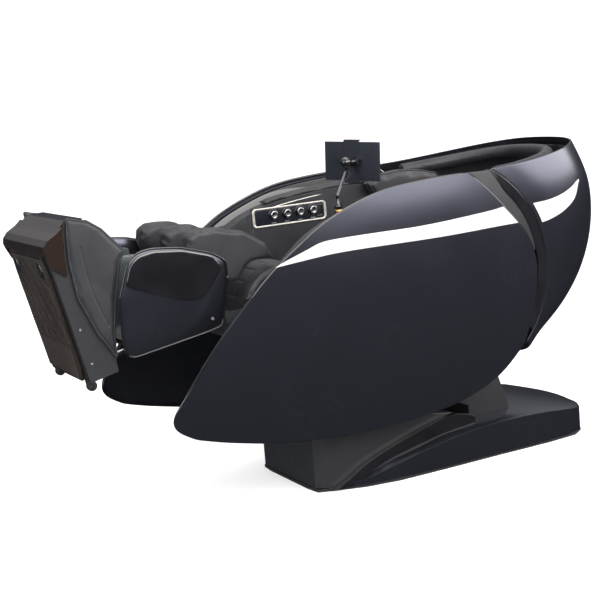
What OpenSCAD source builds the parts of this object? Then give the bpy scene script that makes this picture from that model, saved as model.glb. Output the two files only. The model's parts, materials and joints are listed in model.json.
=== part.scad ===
// Reclining massage chair, lying back with its leg rest raised.
// The sitter's feet point along -Y, the head along +Y, the left hand is on +X, and Z is up from the floor.
// Heights in the chair body are measured from the leg rest hinge, which lies seat_h above the floor.

/* [Overall] */
// Clear width between the two arm consoles
seat_w = 520; // [420:10:640]
// Height of the leg rest hinge above the floor
seat_h = 650; // [540:10:790]
// Radius of the joint line between the side shells and the back shell
joint_r = 388; // [360:1:420]

/* [Shells] */
// Wall of the moulded shells
wall = 8; // [5:0.5:12]
// Width of each arm console, from its inner face to the side shell's rim
console_w = 110; // [90:1:140]
// How far the middle of a side shell stands out past its rim
shell_bulge = 35; // [20:1:60]
// Widest part of the dark band between side shell and back shell
band_w = 80; // [60:1:100]
// Width of the gloss strip along the band's rear edge, as a share of the band
band_gloss = 0.47; // [0.3:0.01:0.5]
// Width of the light stripe on the shells
stripe_w = 43; // [30:1:48]
// How far stripes and trims stand proud
trim_t = 1.5; // [1:0.1:3]

/* [Base] */
// Half width of the base
base_half_w = 283; // [260:1:300]
// Height of the deck edge at its highest
deck_h = 124; // [100:1:150]
// Thickness of the base pan
pan_t = 10; // [6:1:14]
// Half width of the mechanism housing
housing_half_w = 222; // [190:1:225]
// Thickness of the arched side covers
arch_t = 24; // [15:1:30]
// Half width of the pedestal
pedestal_half_w = 205; // [170:1:212]
// Diameter of the rubber feet
foot_pad_d = 50; // [30:1:60]

/* [Slide] */
// Width of a slide rail
rail_w = 24; // [16:1:30]
// Height of a slide rail
rail_h = 14; // [10:1:18]
// Distance between the slide rails
rail_gauge = 320; // [260:1:360]
// Travel of the sliding frame
slide_travel = 107; // [80:1:120]

/* [Hinges] */
// Diameter of the main hinge pins
pin_d = 20; // [12:1:24]
// Wall round a hinge bore
boss_wall = 14; // [8:1:18]
// Thickness of the hinge plates
plate_t = 8; // [5:0.5:10]

/* [Back rest] */
// Length of the back cushion above the recline hinge
back_len = 620; // [560:5:640]
// Thickness of the back cushion
back_t = 80; // [60:1:90]
// Distance between the roller guide rails
guide_gauge = 270; // [220:1:290]
// Radius of the massage rollers
roller_r = 32; // [24:1:36]
// Travel of the roller carriage
roller_travel = 340; // [250:5:360]

/* [Leg rest] */
// Half width over the calf panels
calf_half_w = 252; // [236:1:256]
// Thickness of a calf panel
calf_panel_t = 20; // [14:1:22]
// Half width of the cushion between the legs
divider_half_w = 27; // [18:1:40]
// Distance from the hinge to the sole plate
leg_len = 645; // [625:1:700]
// Half width of the foot box, over its hard walls
foot_half_w = 204; // [180:1:215]
// Wall of the foot box
foot_wall = 12; // [8:1:15]
// Radius of the casters
caster_r = 16; // [12:1:20]
// Diameter of the extension rods
rod_d = 18; // [12:1:22]
// Travel of the foot box
foot_travel = 120; // [80:5:130]

/* [Controls] */
// Diameter of the control knobs
knob_d = 30; // [20:1:36]
// Distance between knob centres
knob_pitch = 53; // [44:1:60]
// Length of the control panel
panel_len = 300; // [260:5:320]
// Height of the control panel
panel_h = 70; // [50:1:76]
// Width of the tablet
tablet_w = 195; // [160:1:250]
// Height of the tablet
tablet_h = 125; // [100:1:160]
// Thickness of the tablet
tablet_t = 10; // [8:1:14]
// Diameter of the tablet's ball joint
ball_d = 26; // [20:1:32]

/* [Fits] */
// Gap between hard covers that meet
gap = 1; // [0.5:0.1:2]
// Radial clearance of a running fit
fit = 0.05; // [0.02:0.01:0.1]
// Gap round a cushion
soft_gap = 4; // [3:0.5:6]

/* [Hidden] */
$fn = 64;

// Colours
shell_c = "#23262d";
black_c = "#0c0d0f";
leather_c = "#141416";
stripe_c = "#d6d8da";
steel_c = "#8b9096";
lining_c = "#3c4a4d";

// Places along Y and heights above the leg rest hinge
leg_y = -298;
leg_tilt = 12.6;
recline_y = 260;
recline_z = 20;
back_angle = 32;
tilt_y = 396;
tilt_z = -330;
console_x = seat_w / 2 + 2;
rim_x = console_x + console_w;
shell_x = rim_x + shell_bulge;
cushion_x = seat_w / 2 - 32;
frame_x = cushion_x + 18;
hinge_r = pin_d / 2 + boss_wall;
arm_x = console_x + 14;
tower_x = arm_x + plate_t + 4;

function mix(a, b, t) = a + (b - a) * t;

// Smooth curve through the points p, for t from 0 to 1
function curve(p, t) =
    let (n = len(p) - 1, i = min(n - 1, floor(t * n)), u = t * n - i)
    let (a = p[max(0, i - 1)], b = p[i], c = p[i + 1], d = p[min(n, i + 2)])
    0.5 * (2 * b + (c - a) * u + (2 * a - 5 * b + 4 * c - d) * u * u + (3 * b - a - 3 * c + d) * u * u * u);

// Outer face of a side shell: its X at a place along Y and a height z above the leg rest hinge
function shell_at(y, z) =
    shell_x - 58 * pow(abs(y - 200) / 900, 2) - 57 * pow(abs(z + 10) / (z > -10 ? 480 : 430), 2.5);

// A point on a circle about the recline hinge
function about_recline(r, a) = [recline_y + r * cos(a), recline_z + r * sin(a)];

// Angles of the joint line at its lower and upper end
joint_a0 = -42;
joint_a1 = 60;
band_a1 = 73;
band_share = [0.04, 0.37, 0.47, 0.51, 0.54, 0.67, 0.86, 0.99, 0.95, 0.8, 0.5];
function band_at(a) = band_w * curve(band_share, (a - joint_a0) / (band_a1 - joint_a0));

// Outline of a side shell
front_tip = [[-654, -346], [-706, -314], [-722, -286], [-716, -258], [-695, -226]];
upper_edge = [[-695, -226], [-565, -54], [-404, 109], [-277, 202], [-170, 265], [7, 327], [200, 348]];
lower_edge = [[-654, -346], [-530, -380], [-322, -419], [-29, -433], [250, -407], [430, -342]];
function rear_edge(v) =
    let (a = mix(joint_a0, band_a1, v)) about_recline(joint_r - gap - band_at(a), a);
function upper_at(t) = curve(concat(upper_edge, [rear_edge(1)]), t);
function lower_at(t) = curve(concat(lower_edge, [rear_edge(0)]), t);

// Place on a side shell: t runs from the front tip to the rear edge, v from the lower edge to the rim
function side_place(t, v) =
    mix(lower_at(t), upper_at(t), v) + mix(curve(front_tip, v), rear_edge(v), t)
    - mix(mix(lower_at(0), lower_at(1), t), mix(upper_at(0), upper_at(1), t), v);

// Closed solid between two grids of points of the same size
module between(outer, inner) {
    m = len(outer);
    n = len(outer[0]);
    function id(g, i, j) = g * m * n + i * n + j;
    function quad(a, b, c, d) = [[a, b, c], [a, c, d]];
    polyhedron(
        points = [for (g = [outer, inner]) for (row = g) for (p = row) p],
        faces = concat(
            [for (i = [0:m - 2]) for (j = [0:n - 2])
                each quad(id(0, i, j), id(0, i, j + 1), id(0, i + 1, j + 1), id(0, i + 1, j))],
            [for (i = [0:m - 2]) for (j = [0:n - 2])
                each quad(id(1, i, j), id(1, i + 1, j), id(1, i + 1, j + 1), id(1, i, j + 1))],
            [for (i = [0:m - 2]) each quad(id(0, i, 0), id(0, i + 1, 0), id(1, i + 1, 0), id(1, i, 0))],
            [for (i = [0:m - 2])
                each quad(id(0, i + 1, n - 1), id(0, i, n - 1), id(1, i, n - 1), id(1, i + 1, n - 1))],
            [for (j = [0:n - 2]) each quad(id(0, 0, j + 1), id(0, 0, j), id(1, 0, j), id(1, 0, j + 1))],
            [for (j = [0:n - 2])
                each quad(id(0, m - 1, j), id(0, m - 1, j + 1), id(1, m - 1, j + 1), id(1, m - 1, j))]
        )
    );
}

// Skin of thickness t behind the face of points, pushed in along X
module skin(face, t) {
    between(face, [for (row = face) [for (p = row) p - [t, 0, 0]]]);
}

// Solid through rings of points, with flat ends
module rings(list) {
    m = len(list);
    n = len(list[0]);
    polyhedron(
        points = [for (r = list) for (p = r) p],
        faces = concat(
            [[for (j = [0:n - 1]) j]],
            [for (i = [0:m - 2]) for (j = [0:n - 1])
                each [[i * n + j, (i + 1) * n + (j + 1) % n, i * n + (j + 1) % n],
                      [i * n + j, (i + 1) * n + j, (i + 1) * n + (j + 1) % n]]],
            [[for (j = [n - 1:-1:0]) (m - 1) * n + j]]
        )
    );
}

// Tube of radius r along the points of a path
module tube(path, r, sides = 8) {
    n = len(path);
    function unit(v) = v / norm(v);
    function way(i) = unit(path[min(n - 1, i + 1)] - path[max(0, i - 1)]);
    rings([for (i = [0:n - 1])
        let (w = way(i), a = unit(cross(w, [0.3, 1, 0.2])), b = cross(w, a))
        [for (k = [0:sides - 1]) path[i] - r * (cos(360 * k / sides) * a + sin(360 * k / sides) * b)]]);
}

// An outline in Y and Z, x0 to x1 along X
module across(x0, x1, outline) {
    translate([x0, 0, 0]) rotate([90, 0, 90]) linear_extrude(x1 - x0) polygon(outline);
}

// A round bar along X
module bar(x0, x1, y, z, d) {
    translate([x0, y, z]) rotate([0, 90, 0]) cylinder(d = d, h = x1 - x0);
}

// The same thing on both sides
module both() {
    children();
    mirror([1, 0, 0]) children();
}

// Frames: the chair body, the back rest and the leg rest
module in_body() { translate([0, 0, seat_h]) children(); }
module in_back() { in_body() translate([0, recline_y, recline_z]) rotate([back_angle, 0, 0]) children(); }
module in_leg() { in_body() translate([0, leg_y, 0]) rotate([leg_tilt, 0, 0]) mirror([0, 1, 0]) children(); }

// ---------------------------------------------------------------- base

base_front = -205;
base_rear = 930;
deck_crest_y = 540;
// Half width of the base along Y, as a share of the widest
base_plan = [[-205, 0.5], [-198, 0.72], [-136, 0.81], [-47, 0.93], [79, 1], [280, 1], [491, 0.985],
    [707, 0.985], [835, 0.95], [890, 0.82], [920, 0.62], [930, 0.45]];
function deck_edge(y) = max(pan_t + 6, deck_h * (1 - pow((y - deck_crest_y) / 660, 2)));

module base_plate(inset, h) {
    linear_extrude(h)
        polygon(concat(
            [for (p = base_plan) [base_half_w * p[1] - inset, p[0] + (p[0] < 0 ? inset : -inset) / 2]],
            [for (i = [len(base_plan) - 1:-1:0])
                let (p = base_plan[i]) [inset - base_half_w * p[1], p[0] + (p[0] < 0 ? inset : -inset) / 2]]
        ));
}

foot_places = [for (x = [-200, 200]) for (y = [40, 420, 800]) [x, y]];
pedestal_foot = [418, 590];

module base_pan() {
    color(black_c) difference() {
        base_plate(4, pan_t);
        for (p = foot_places) translate([p[0], p[1], -1]) cylinder(d = foot_pad_d + 2 * gap, h = pan_t / 2 + 1);
    }
}

module rubber_feet() {
    color("#1a1a1a") for (p = foot_places) translate([p[0], p[1], 0]) cylinder(d = foot_pad_d, h = pan_t / 2);
}

// Cross-section of the deck at a place y, pulled in by a wall
deck_chamfer = [16, 9];
deck_crown = 22;
function deck_section(y, share, inset) =
    let (w = base_half_w * share - inset, z = deck_edge(y) - inset, c = deck_chamfer,
         crown = deck_crown * sin(180 * (y - base_front) / 1280), low = inset > 0 ? pan_t - 1 : pan_t)
    [[-w, y, low], [-w, y, z], [-w + c[0], y, z + c[1]], [-w * 0.55, y, z + c[1] + crown * 0.8],
     [0, y, z + c[1] + crown], [w * 0.55, y, z + c[1] + crown * 0.8], [w - c[0], y, z + c[1]], [w, y, z], [w, y, low]];

module base_cover() {
    color(shell_c) difference() {
        rings([for (p = base_plan) deck_section(p[0], p[1], 0)]);
        rings([for (p = base_plan) if (p[0] > 0) deck_section(min(p[0], base_rear - wall), p[1], wall)]);
        arches = housing_half_w + arch_t + 2 * gap;
        translate([-arches, base_front - 10, -1])
            cube([2 * arches, pedestal_foot[0] - gap - base_front + 10, 2 * deck_h]);
        translate([-pedestal_half_w - gap, pedestal_foot[0] - gap - 1, -1])
            cube([2 * (pedestal_half_w + gap), pedestal_foot[1] - pedestal_foot[0] + 2 * gap + 1, 2 * deck_h]);
        translate([-inlet_w / 2 - gap, base_rear - inlet_deep - gap, inlet_z - inlet_h / 2 - gap])
            cube([inlet_w + 2 * gap, inlet_deep + 10, inlet_h + 2 * gap]);
    }
}

// Arched covers on both sides of the housing
arch_crest = [[-150, 12], [-94, 41], [-13, 82], [108, 122], [232, 156], [320, 172], [380, 164], [414, 148]];
module arch_cover() {
    steps = 28;
    across(housing_half_w + gap, housing_half_w + gap + arch_t, concat(
        [[pedestal_foot[0] - 2 * gap - 2, pan_t], [-152, pan_t]],
        [for (i = [0:steps]) curve(arch_crest, i / steps)]
    ));
}
module arch_covers() { color(black_c) both() arch_cover(); }

housing_h = 205;
module mechanism_housing() {
    front = [[-housing_half_w + 34, base_front + 6], [housing_half_w - 34, base_front + 6],
        [housing_half_w - 6, base_front + 40], [housing_half_w, base_front + 90]];
    back = pedestal_foot[0] - 3 * gap;
    outline = concat(front, [[housing_half_w, back], [-housing_half_w, back],
        [-housing_half_w, base_front + 90], [6 - housing_half_w, base_front + 40]]);
    color(black_c) difference() {
        intersection() {
            translate([0, 0, pan_t]) linear_extrude(housing_h) polygon(outline);
            across(-housing_half_w, housing_half_w, [[base_front, 0], [base_front, housing_h - 40],
                [base_front + 30, housing_h - 12], [base_front + 80, housing_h], [150, housing_h],
                [330, housing_h - 30], [back, 140], [back, 0]]);
        }
        translate([-housing_half_w + wall, base_front + 60, 0])
            cube([2 * (housing_half_w - wall), 330 - base_front - 60, housing_h - 50]);
    }
}

// Hollow frame that carries the slide rails
rail_z = tilt_z - 30;
module pedestal() {
    top = seat_h + rail_z - rail_h;
    outer = [[pedestal_foot[0], pan_t], [pedestal_foot[1], pan_t], [pedestal_foot[1], deck_h + 26],
        [pedestal_foot[1] - 40, top], [pedestal_foot[0] - 80, top], [pedestal_foot[0] - 80, top - 60],
        [pedestal_foot[0], deck_h + 54]];
    color("#15171b") difference() {
        across(-pedestal_half_w, pedestal_half_w, outer);
        translate([-pedestal_half_w + wall, pedestal_foot[0] + wall, pan_t - 1])
            cube([2 * (pedestal_half_w - wall), pedestal_foot[1] - pedestal_foot[0] - 60, top - wall - pan_t]);
    }
}

rail_y = [pedestal_foot[0] - 80, pedestal_foot[1] - 40];
module slide_rails() {
    color(steel_c) both()
        translate([rail_gauge / 2 - rail_w / 2, rail_y[0], seat_h + rail_z - rail_h])
            cube([rail_w, rail_y[1] - rail_y[0], rail_h]);
}

inlet_w = 48;
inlet_h = 28;
inlet_deep = 26;
inlet_z = 50;
module power_inlet() {
    color("#202225") difference() {
        translate([-inlet_w / 2, base_rear - inlet_deep, inlet_z - inlet_h / 2]) cube([inlet_w, inlet_deep, inlet_h]);
        translate([-12, base_rear - 16, inlet_z - 8]) cube([24, 20, 16]);
    }
}

// ---------------------------------------------------------------- sliding frame

block_h = 22;
block_y = [rail_y[0] + 4, rail_y[1] - slide_travel];
module slide_frame() {
    color("#3a3d42") in_body() {
        both() difference() {
            translate([rail_gauge / 2 - rail_w / 2 - 8, block_y[0], rail_z - rail_h + 2])
                cube([rail_w + 16, block_y[1] - block_y[0], block_h]);
            translate([rail_gauge / 2 - rail_w / 2 - 0.5, rail_y[0], rail_z - rail_h])
                cube([rail_w + 1, rail_y[1] - rail_y[0], rail_h + 0.5]);
        }
        for (y = [block_y[0] + 4, block_y[1] - 24])
            translate([-rail_gauge / 2, y, rail_z + 2]) cube([rail_gauge, 20, block_h - rail_h]);
        both() {
            across(rail_gauge / 2 - plate_t / 2, rail_gauge / 2 + plate_t / 2,
                [[tilt_y - 34, rail_z + 4], [tilt_y + 34, rail_z + 4], [tilt_y + 14, tilt_z + 8], [tilt_y - 14, tilt_z + 8]]);
            bar(rail_gauge / 2 - plate_t / 2, rail_gauge / 2 + plate_t / 2 + plate_t + 6, tilt_y, tilt_z, pin_d);
        }
    }
}

module slide_motor() {
    color("#55585d") in_body()
        bar(-60, 60, tilt_y, rail_z + block_h - rail_h + 2 + 20 + gap, 40);
}

// ---------------------------------------------------------------- seat frame

module seat_frame() {
    lug_x = rail_gauge / 2 + plate_t / 2 + 2;
    color("#44484e") in_body() {
        both() {
            across(frame_x, frame_x + plate_t, [[leg_y - 16, -22], [leg_y + 20, -70], [0, -230], [260, -300],
                [420, -300], [420, -272], [260, -232], [60, -170], [-120, -90], [leg_y + 24, 14], [leg_y, 24]]);
            bar(cushion_x + 4, frame_x + plate_t, leg_y, 0, pin_d);
            across(tower_x, tower_x + plate_t, [[190, -290], [290, -290], [recline_y + 24, recline_z + 8],
                [recline_y, recline_z + 22], [recline_y - 24, recline_z + 8]]);
            bar(arm_x - 3, tower_x + plate_t, recline_y, recline_z, pin_d);
            difference() {
                across(lug_x, lug_x + plate_t, [[tilt_y - 40, -280], [tilt_y - 20, tilt_z - 18],
                    [tilt_y + 20, tilt_z - 18], [tilt_y + 30, -280]]);
                bar(lug_x - 1, lug_x + plate_t + 1, tilt_y, tilt_z, pin_d + 2 * fit);
            }
        }
        bar(-frame_x - 1, frame_x + 1, -60, -186, 36);
        bar(-tower_x - 1, tower_x + 1, 230, -268, 36);
        bar(-frame_x - 1, frame_x + 1, tilt_y - 24, -285, 28);
    }
}

// ---------------------------------------------------------------- side shells

shell_rows = 26;
shell_cols = 13;
function side_face(out) = [for (i = [0:shell_rows]) [for (j = [0:shell_cols])
    let (q = side_place(i / shell_rows, j / shell_cols)) [shell_at(q[0], q[1]) + out, q[0], q[1]]]];

module side_shell() { in_body() skin(side_face(0), wall); }
module side_shell_left() { color(shell_c) side_shell(); }
module side_shell_right() { color(shell_c) mirror([1, 0, 0]) side_shell(); }

// Rubber lip just inside the shell's front edge
module edge_trims() {
    n = 24;
    lip = 5;
    color(black_c) in_body() both()
        tube([for (i = [0:n])
            let (q = side_place(0.02 + 0.42 * i / n, 0.99)) [shell_at(q[0], q[1]) - wall - lip - gap, q[0] + 2, q[1] - 2]],
            lip);
}

// Dark band between the side shell and the back shell
band_a0 = joint_a0 + 50;
gloss_a0 = joint_a0 + 7;
gloss_taper = 2.8;
function gloss_at(a) = min(band_gloss * band_w, band_at(a) - 2 * gap, gloss_taper * (joint_a1 + 1 - a));
function band_point(w, s) =
    let (a_in = mix(band_a0, band_a1, w), a_out = mix(band_a0, joint_a1, w))
    mix(about_recline(joint_r - band_at(a_in), a_in), about_recline(joint_r - 2 * gap - gloss_at(a_out), a_out), s);
band_n = 18;
function band_face() = [for (i = [0:band_n]) [for (j = [3:-1:0])
    let (q = band_point(i / band_n, j / 3)) [shell_at(q[0], q[1]) - 2, q[0], q[1]]]];

module band_left() { color("#101114") in_body() skin(band_face(), wall); }
module band_right() { mirror([1, 0, 0]) band_left(); }

// Gloss strip along the band's rear edge
function gloss_face() = [for (i = [0:band_n]) [for (j = [0:2])
    let (a = mix(gloss_a0, joint_a1, i / band_n))
    let (q = about_recline(joint_r - gap - gloss_at(a) * j / 2, a)) [shell_at(q[0], q[1]), q[0], q[1]]]];
module band_gloss() { color(black_c) in_body() both() skin(gloss_face(), wall / 2); }

// Light stripe that runs along the shell below its rim and ends on the shell's rear edge
stripe_line = [[-369, 144], [-262, 154], [-150, 162], [20, 163], [190, 162], [340, 164], [480, 168]];
stripe_n = 20;
stripe_a0 = 28;
stripe_a1 = 43;
function stripe_point(i, s) =
    let (c = curve(stripe_line, i / stripe_n), w = stripe_w * min(1, i / 5) * (1 + max(0, i - 12) / 24))
    i < stripe_n ? c + [0, w * s]
    : let (a = mix(stripe_a0, stripe_a1, s)) about_recline(joint_r - 4 * gap - band_at(a), a);
function stripe_face() = [for (i = [0:stripe_n]) [for (j = [0:2])
    let (q = stripe_point(i, j / 2)) [shell_at(q[0], q[1]) + 0.2 + trim_t, q[0], q[1]]]];
module side_stripes() { color(stripe_c) in_body() both() skin(stripe_face(), trim_t); }

// ---------------------------------------------------------------- arm consoles

console_top = [[-318, 120], [-230, 195], [-150, 240], [-60, 270], [60, 288], [200, 300], [330, 302], [398, 290]];
console_floor = [[398, 150], [190, 118], [150, -60], [-40, -130], [-250, -70], [-318, 40]];
panel_mid = [24, 228];
module console() {
    steps = 20;
    across(console_x, rim_x - 42,
        concat([for (i = [0:steps]) curve(console_top, i / steps)], console_floor));
}
module console_left() {
    color(leather_c) in_body() difference() {
        console();
        translate([foot_of_arm[0], foot_of_arm[1], foot_of_arm[2] - 24]) cylinder(d = 16 + 2 * fit, h = 80);
    }
}
module console_right() {
    color(leather_c) in_body() difference() {
        mirror([1, 0, 0]) console();
        translate([-console_x - 8, panel_mid[0] - panel_len / 2 - gap, panel_mid[1] - panel_h / 2 - gap])
            cube([9, panel_len + 2 * gap, panel_h + 2 * gap]);
        for (i = [0:3]) knob_at(i) translate([0, 0, -24]) cylinder(d = 14, h = 30);
    }
}

// Covers that close the gap between the consoles and the shell rims
module rim_covers() {
    n = 18;
    top = [for (i = [0:n])
        let (q = side_place(mix(0.46, 0.98, i / n), 0.985), x = shell_at(q[0], q[1]) - wall - gap)
        [for (j = [0:3]) let (s = j / 3) [mix(rim_x - 42 + gap, x, s), q[0], q[1] - 3 - 30 * pow(1 - s, 2)]]];
    color(black_c) in_body() both()
        between([for (r = top) [for (p = r) p - [0, 0, 6]]], top);
}

// Padded tops of the consoles
module arm_pads() {
    steps = 10;
    inner = console_x + 4;
    color(leather_c) in_body() both()
        across(inner, rim_x - 46, concat(
            [for (i = [0:steps]) curve(console_top, 0.42 + 0.5 * i / steps) + [0, 1]],
            [for (i = [steps:-1:0]) curve(console_top, 0.42 + 0.5 * i / steps) + [0, 12]]));
}

// Panel with four knobs on the right-hand console
module knob_at(i) {
    translate([-console_x, panel_mid[0] + 14 + knob_pitch * (i - 1.5), panel_mid[1] + 6]) rotate([0, 90, 0]) children();
}
module control_panel() {
    color("#1b1d20") in_body() difference() {
        translate([-console_x - 8 + gap, panel_mid[0] - panel_len / 2, panel_mid[1] - panel_h / 2])
            cube([9, panel_len, panel_h]);
        for (i = [0:3]) knob_at(i) translate([0, 0, -24]) cylinder(d = 8 + 2 * fit, h = 40);
    }
}
module knob(i) {
    color("#c3c6c9") in_body() knob_at(i) {
        translate([0, 0, 2 + gap]) cylinder(d1 = knob_d, d2 = knob_d - 3, h = 12);
        translate([0, 0, -12]) cylinder(d = 8, h = 16);
    }
}
module knob_1() { knob(0); }
module knob_2() { knob(1); }
module knob_3() { knob(2); }
module knob_4() { knob(3); }

// ---------------------------------------------------------------- seat cushion

bolster_r = 138;
function bolster(a) = [leg_y + bolster_r * cos(a), bolster_r * sin(a)];
module seat_cushion() {
    wide = console_x - 6;
    color(leather_c) in_body() {
        across(-cushion_x, cushion_x, concat([for (a = [75:15:240]) bolster(a)],
            [[-200, -150], [60, -150], [76, -120], [30, -62], [-60, -10], [-180, 80]]));
        across(-wide, wide, concat([for (a = [75:15:165]) bolster(a)], [[leg_y - 60, 34], [leg_y + 20, 36],
            [-200, 20], [-80, -50], [34, -98], [30, -62], [-60, -10], [-180, 80]]));
    }
}

// ---------------------------------------------------------------- tablet

// Foot of the tablet arm on the left console, and the ball, above the leg rest hinge
foot_of_arm = [console_x + 34, -86, 262];
ball_at = [console_x - 17, -16, 424];
tablet_yaw = 33;
tablet_roll = 3.8;
strap_w = 56;
module tablet_arm() {
    elbow = [foot_of_arm[0], foot_of_arm[1], foot_of_arm[2] + 66];
    color("#2c2e31") in_body() {
        translate(foot_of_arm - [0, 0, 20]) cylinder(d = 16, h = 32);
        translate(foot_of_arm + [0, 0, 26]) cylinder(d = 26, h = 10);
        translate(foot_of_arm) cylinder(d = 10, h = 70);
        hull() {
            translate(elbow) sphere(r = 6, $fn = 24);
            translate(ball_at - [0, 0, 8 + ball_d / 2]) sphere(r = 5, $fn = 24);
        }
        translate(ball_at - [0, 0, 12 + ball_d / 2]) cylinder(d = 8, h = 20);
        translate(ball_at) sphere(d = ball_d);
    }
}

// Lead that runs beside the arm, from its collar to the ball
module tablet_lead() {
    route = [foot_of_arm + [17, 0, 30], foot_of_arm + [30, -2, 46], foot_of_arm + [36, -2, 72],
        foot_of_arm + [26, 8, 104], ball_at + [26, -6, -40], ball_at + [17, -4, -26]];
    color(black_c) in_body() tube([for (i = [0:24]) curve(route, i / 24)], 1.8);
}

module at_ball() { in_body() translate(ball_at) rotate([0, tablet_roll, tablet_yaw]) children(); }

// Cup that turns on the ball and carries the tablet
module ball_socket() {
    cup = ball_d / 2 + 6;
    color("#17181a") at_ball() difference() {
        union() {
            sphere(r = cup);
            rotate([90, 0, 0]) translate([0, 0, -cup - 8]) cylinder(d = 22, h = 12);
            translate([0, cup + 12, 0]) rotate([0, 90, 0]) cylinder(d = 14, h = 44, center = true);
        }
        sphere(d = ball_d + 2 * fit);
        translate([0, 0, -cup - 1]) cylinder(d1 = ball_d + 16, d2 = ball_d - 2, h = cup - 6);
        translate([-30, cup + 12, 0]) rotate([0, 90, 0]) cylinder(d = 6 + 2 * fit, h = 60);
    }
}

module tablet() {
    y = ball_d / 2 + 6 + 12;
    color("#14171d") at_ball() {
        translate([-tablet_w / 2, y + 10, -tablet_h / 2]) cube([tablet_w, tablet_t, tablet_h]);
        for (s = [-1, 1]) translate([s * 27 - 4, y - 6, -8]) cube([8, 17, 16]);
        translate([-30, y, 0]) rotate([0, 90, 0]) cylinder(d = 6, h = 60);
        translate([-strap_w / 2, y + 8, -tablet_h / 2 - 7]) cube([strap_w, 3, tablet_h + 14]);
        for (s = [-1, 1]) translate([-strap_w / 2, y + 8, s * (tablet_h / 2 + 5.5) - 1.5]) cube([strap_w, tablet_t + 5, 3]);
    }
}

// ---------------------------------------------------------------- back rest

// Outer face of the back shell: u runs from the joint line round to the middle, v from below to the rim
back_middle = [[628, -324], [680, -298], [818, -217], [938, -98], [1013, 42], [1042, 179], [1036, 290], [985, 412]];
function joint_point(v) = about_recline(joint_r + gap, mix(joint_a0, joint_a1, v));
function back_point(u, v, inset) =
    let (e = joint_point(v), c = curve(back_middle, v) - [inset, -inset * (v < 0.3 ? 1 : 0)], a = 90 * u)
    [(shell_at(e[0], e[1]) - inset) * pow(cos(a), 0.72), mix(e[0], c[0], pow(sin(a), 0.94)),
     mix(e[1], c[1], pow(sin(a), 1.5))];
back_cols = 13;
back_rows = 14;
function back_face(inset) = [for (i = [-back_cols:back_cols]) [for (j = [0:back_rows])
    let (p = back_point(1 - abs(i) / back_cols, j / back_rows, inset)) [p[0] * (i < 0 ? -1 : 1), p[1], p[2]]]];

module rear_shell() {
    color(shell_c) in_body() between(back_face(wall), back_face(0));
}

// Stripe on the back shell, carrying on from the side stripe and running out to a point
back_stripe_low = [0.613, 0.64, 0.68, 0.734, 0.822];
back_stripe_high = [0.722, 0.733, 0.757, 0.791, 0.828];
function back_stripe_face(out) = [for (i = [0:14]) [for (j = [0:2])
    let (t = i / 14, u = 0.02 + 0.4 * t, v = mix(curve(back_stripe_low, t), curve(back_stripe_high, t), j / 2))
    let (p = back_point(u, v, 0), q = back_point(u, v, 8)) p + out * (p - q) / norm(p - q)]];
module rear_stripes() {
    color(stripe_c) in_body() both() between(back_stripe_face(0.3 + trim_t), back_stripe_face(0.3));
}

// In the back frame Y runs up the back and Z stands out from it
back_top_n = -100;
guide_n = back_top_n - back_t - 60;
module back_frame() {
    x = guide_gauge / 2 + 20;
    color("#44484e") {
        in_back() both() across(x, x + plate_t, [[70, guide_n - 30], [back_len, guide_n - 30], [back_len, guide_n + 12],
            [70, guide_n + 12]]);
        in_back() {
            bar(-x - 1, x + 1, back_len - 40, guide_n - 22, 24);
            bar(-arm_x - plate_t, arm_x + plate_t, 110, guide_n - 32, 26);
        }
        in_back() both() difference() {
            hull() {
                bar(arm_x, arm_x + plate_t, 0, 0, 2 * hinge_r);
                bar(arm_x, arm_x + plate_t, 110, guide_n - 32, 40);
            }
            bar(arm_x - 1, arm_x + plate_t + 1, 0, 0, pin_d + 2 * fit);
        }
    }
}

module guide_rails() {
    color(steel_c) in_back() both()
        translate([guide_gauge / 2, 40, guide_n]) rotate([-90, 0, 0]) cylinder(d = 16, h = back_len - 60);
}

roller_s = 130;
roller_pitch = 80;
roller_n = back_top_n - back_t + 4;
roller_x = [34, 74];
module roller_carriage() {
    h = 30;
    color("#2a2c30") in_back() difference() {
        union() {
            translate([-guide_gauge / 2 - 14, roller_s - 50, guide_n - h / 2])
                cube([guide_gauge + 28, 100 + roller_pitch / 2, h]);
            for (s = [-1, 1]) translate([s * 18 - 4, roller_s - 60, guide_n])
                cube([8, roller_pitch + 70, roller_n - guide_n + 10]);
        }
        both() translate([guide_gauge / 2, 0, guide_n])
            rotate([-90, 0, 0]) cylinder(d = 16 + 2 * fit, h = 2 * back_len);
        for (k = [0, 1]) bar(-60, 60, roller_s - roller_pitch / 2 + k * roller_pitch, roller_n, 12 + 2 * fit);
    }
}
module roller_pair(k) {
    y = roller_s - roller_pitch / 2 + k * roller_pitch;
    color("#6a6d70") in_back() {
        bar(-92, 92, y, roller_n, 12);
        both() bar(roller_x[0], roller_x[1], y, roller_n, 2 * roller_r);
    }
}
module upper_rollers() { roller_pair(1); }
module lower_rollers() { roller_pair(0); }

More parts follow.
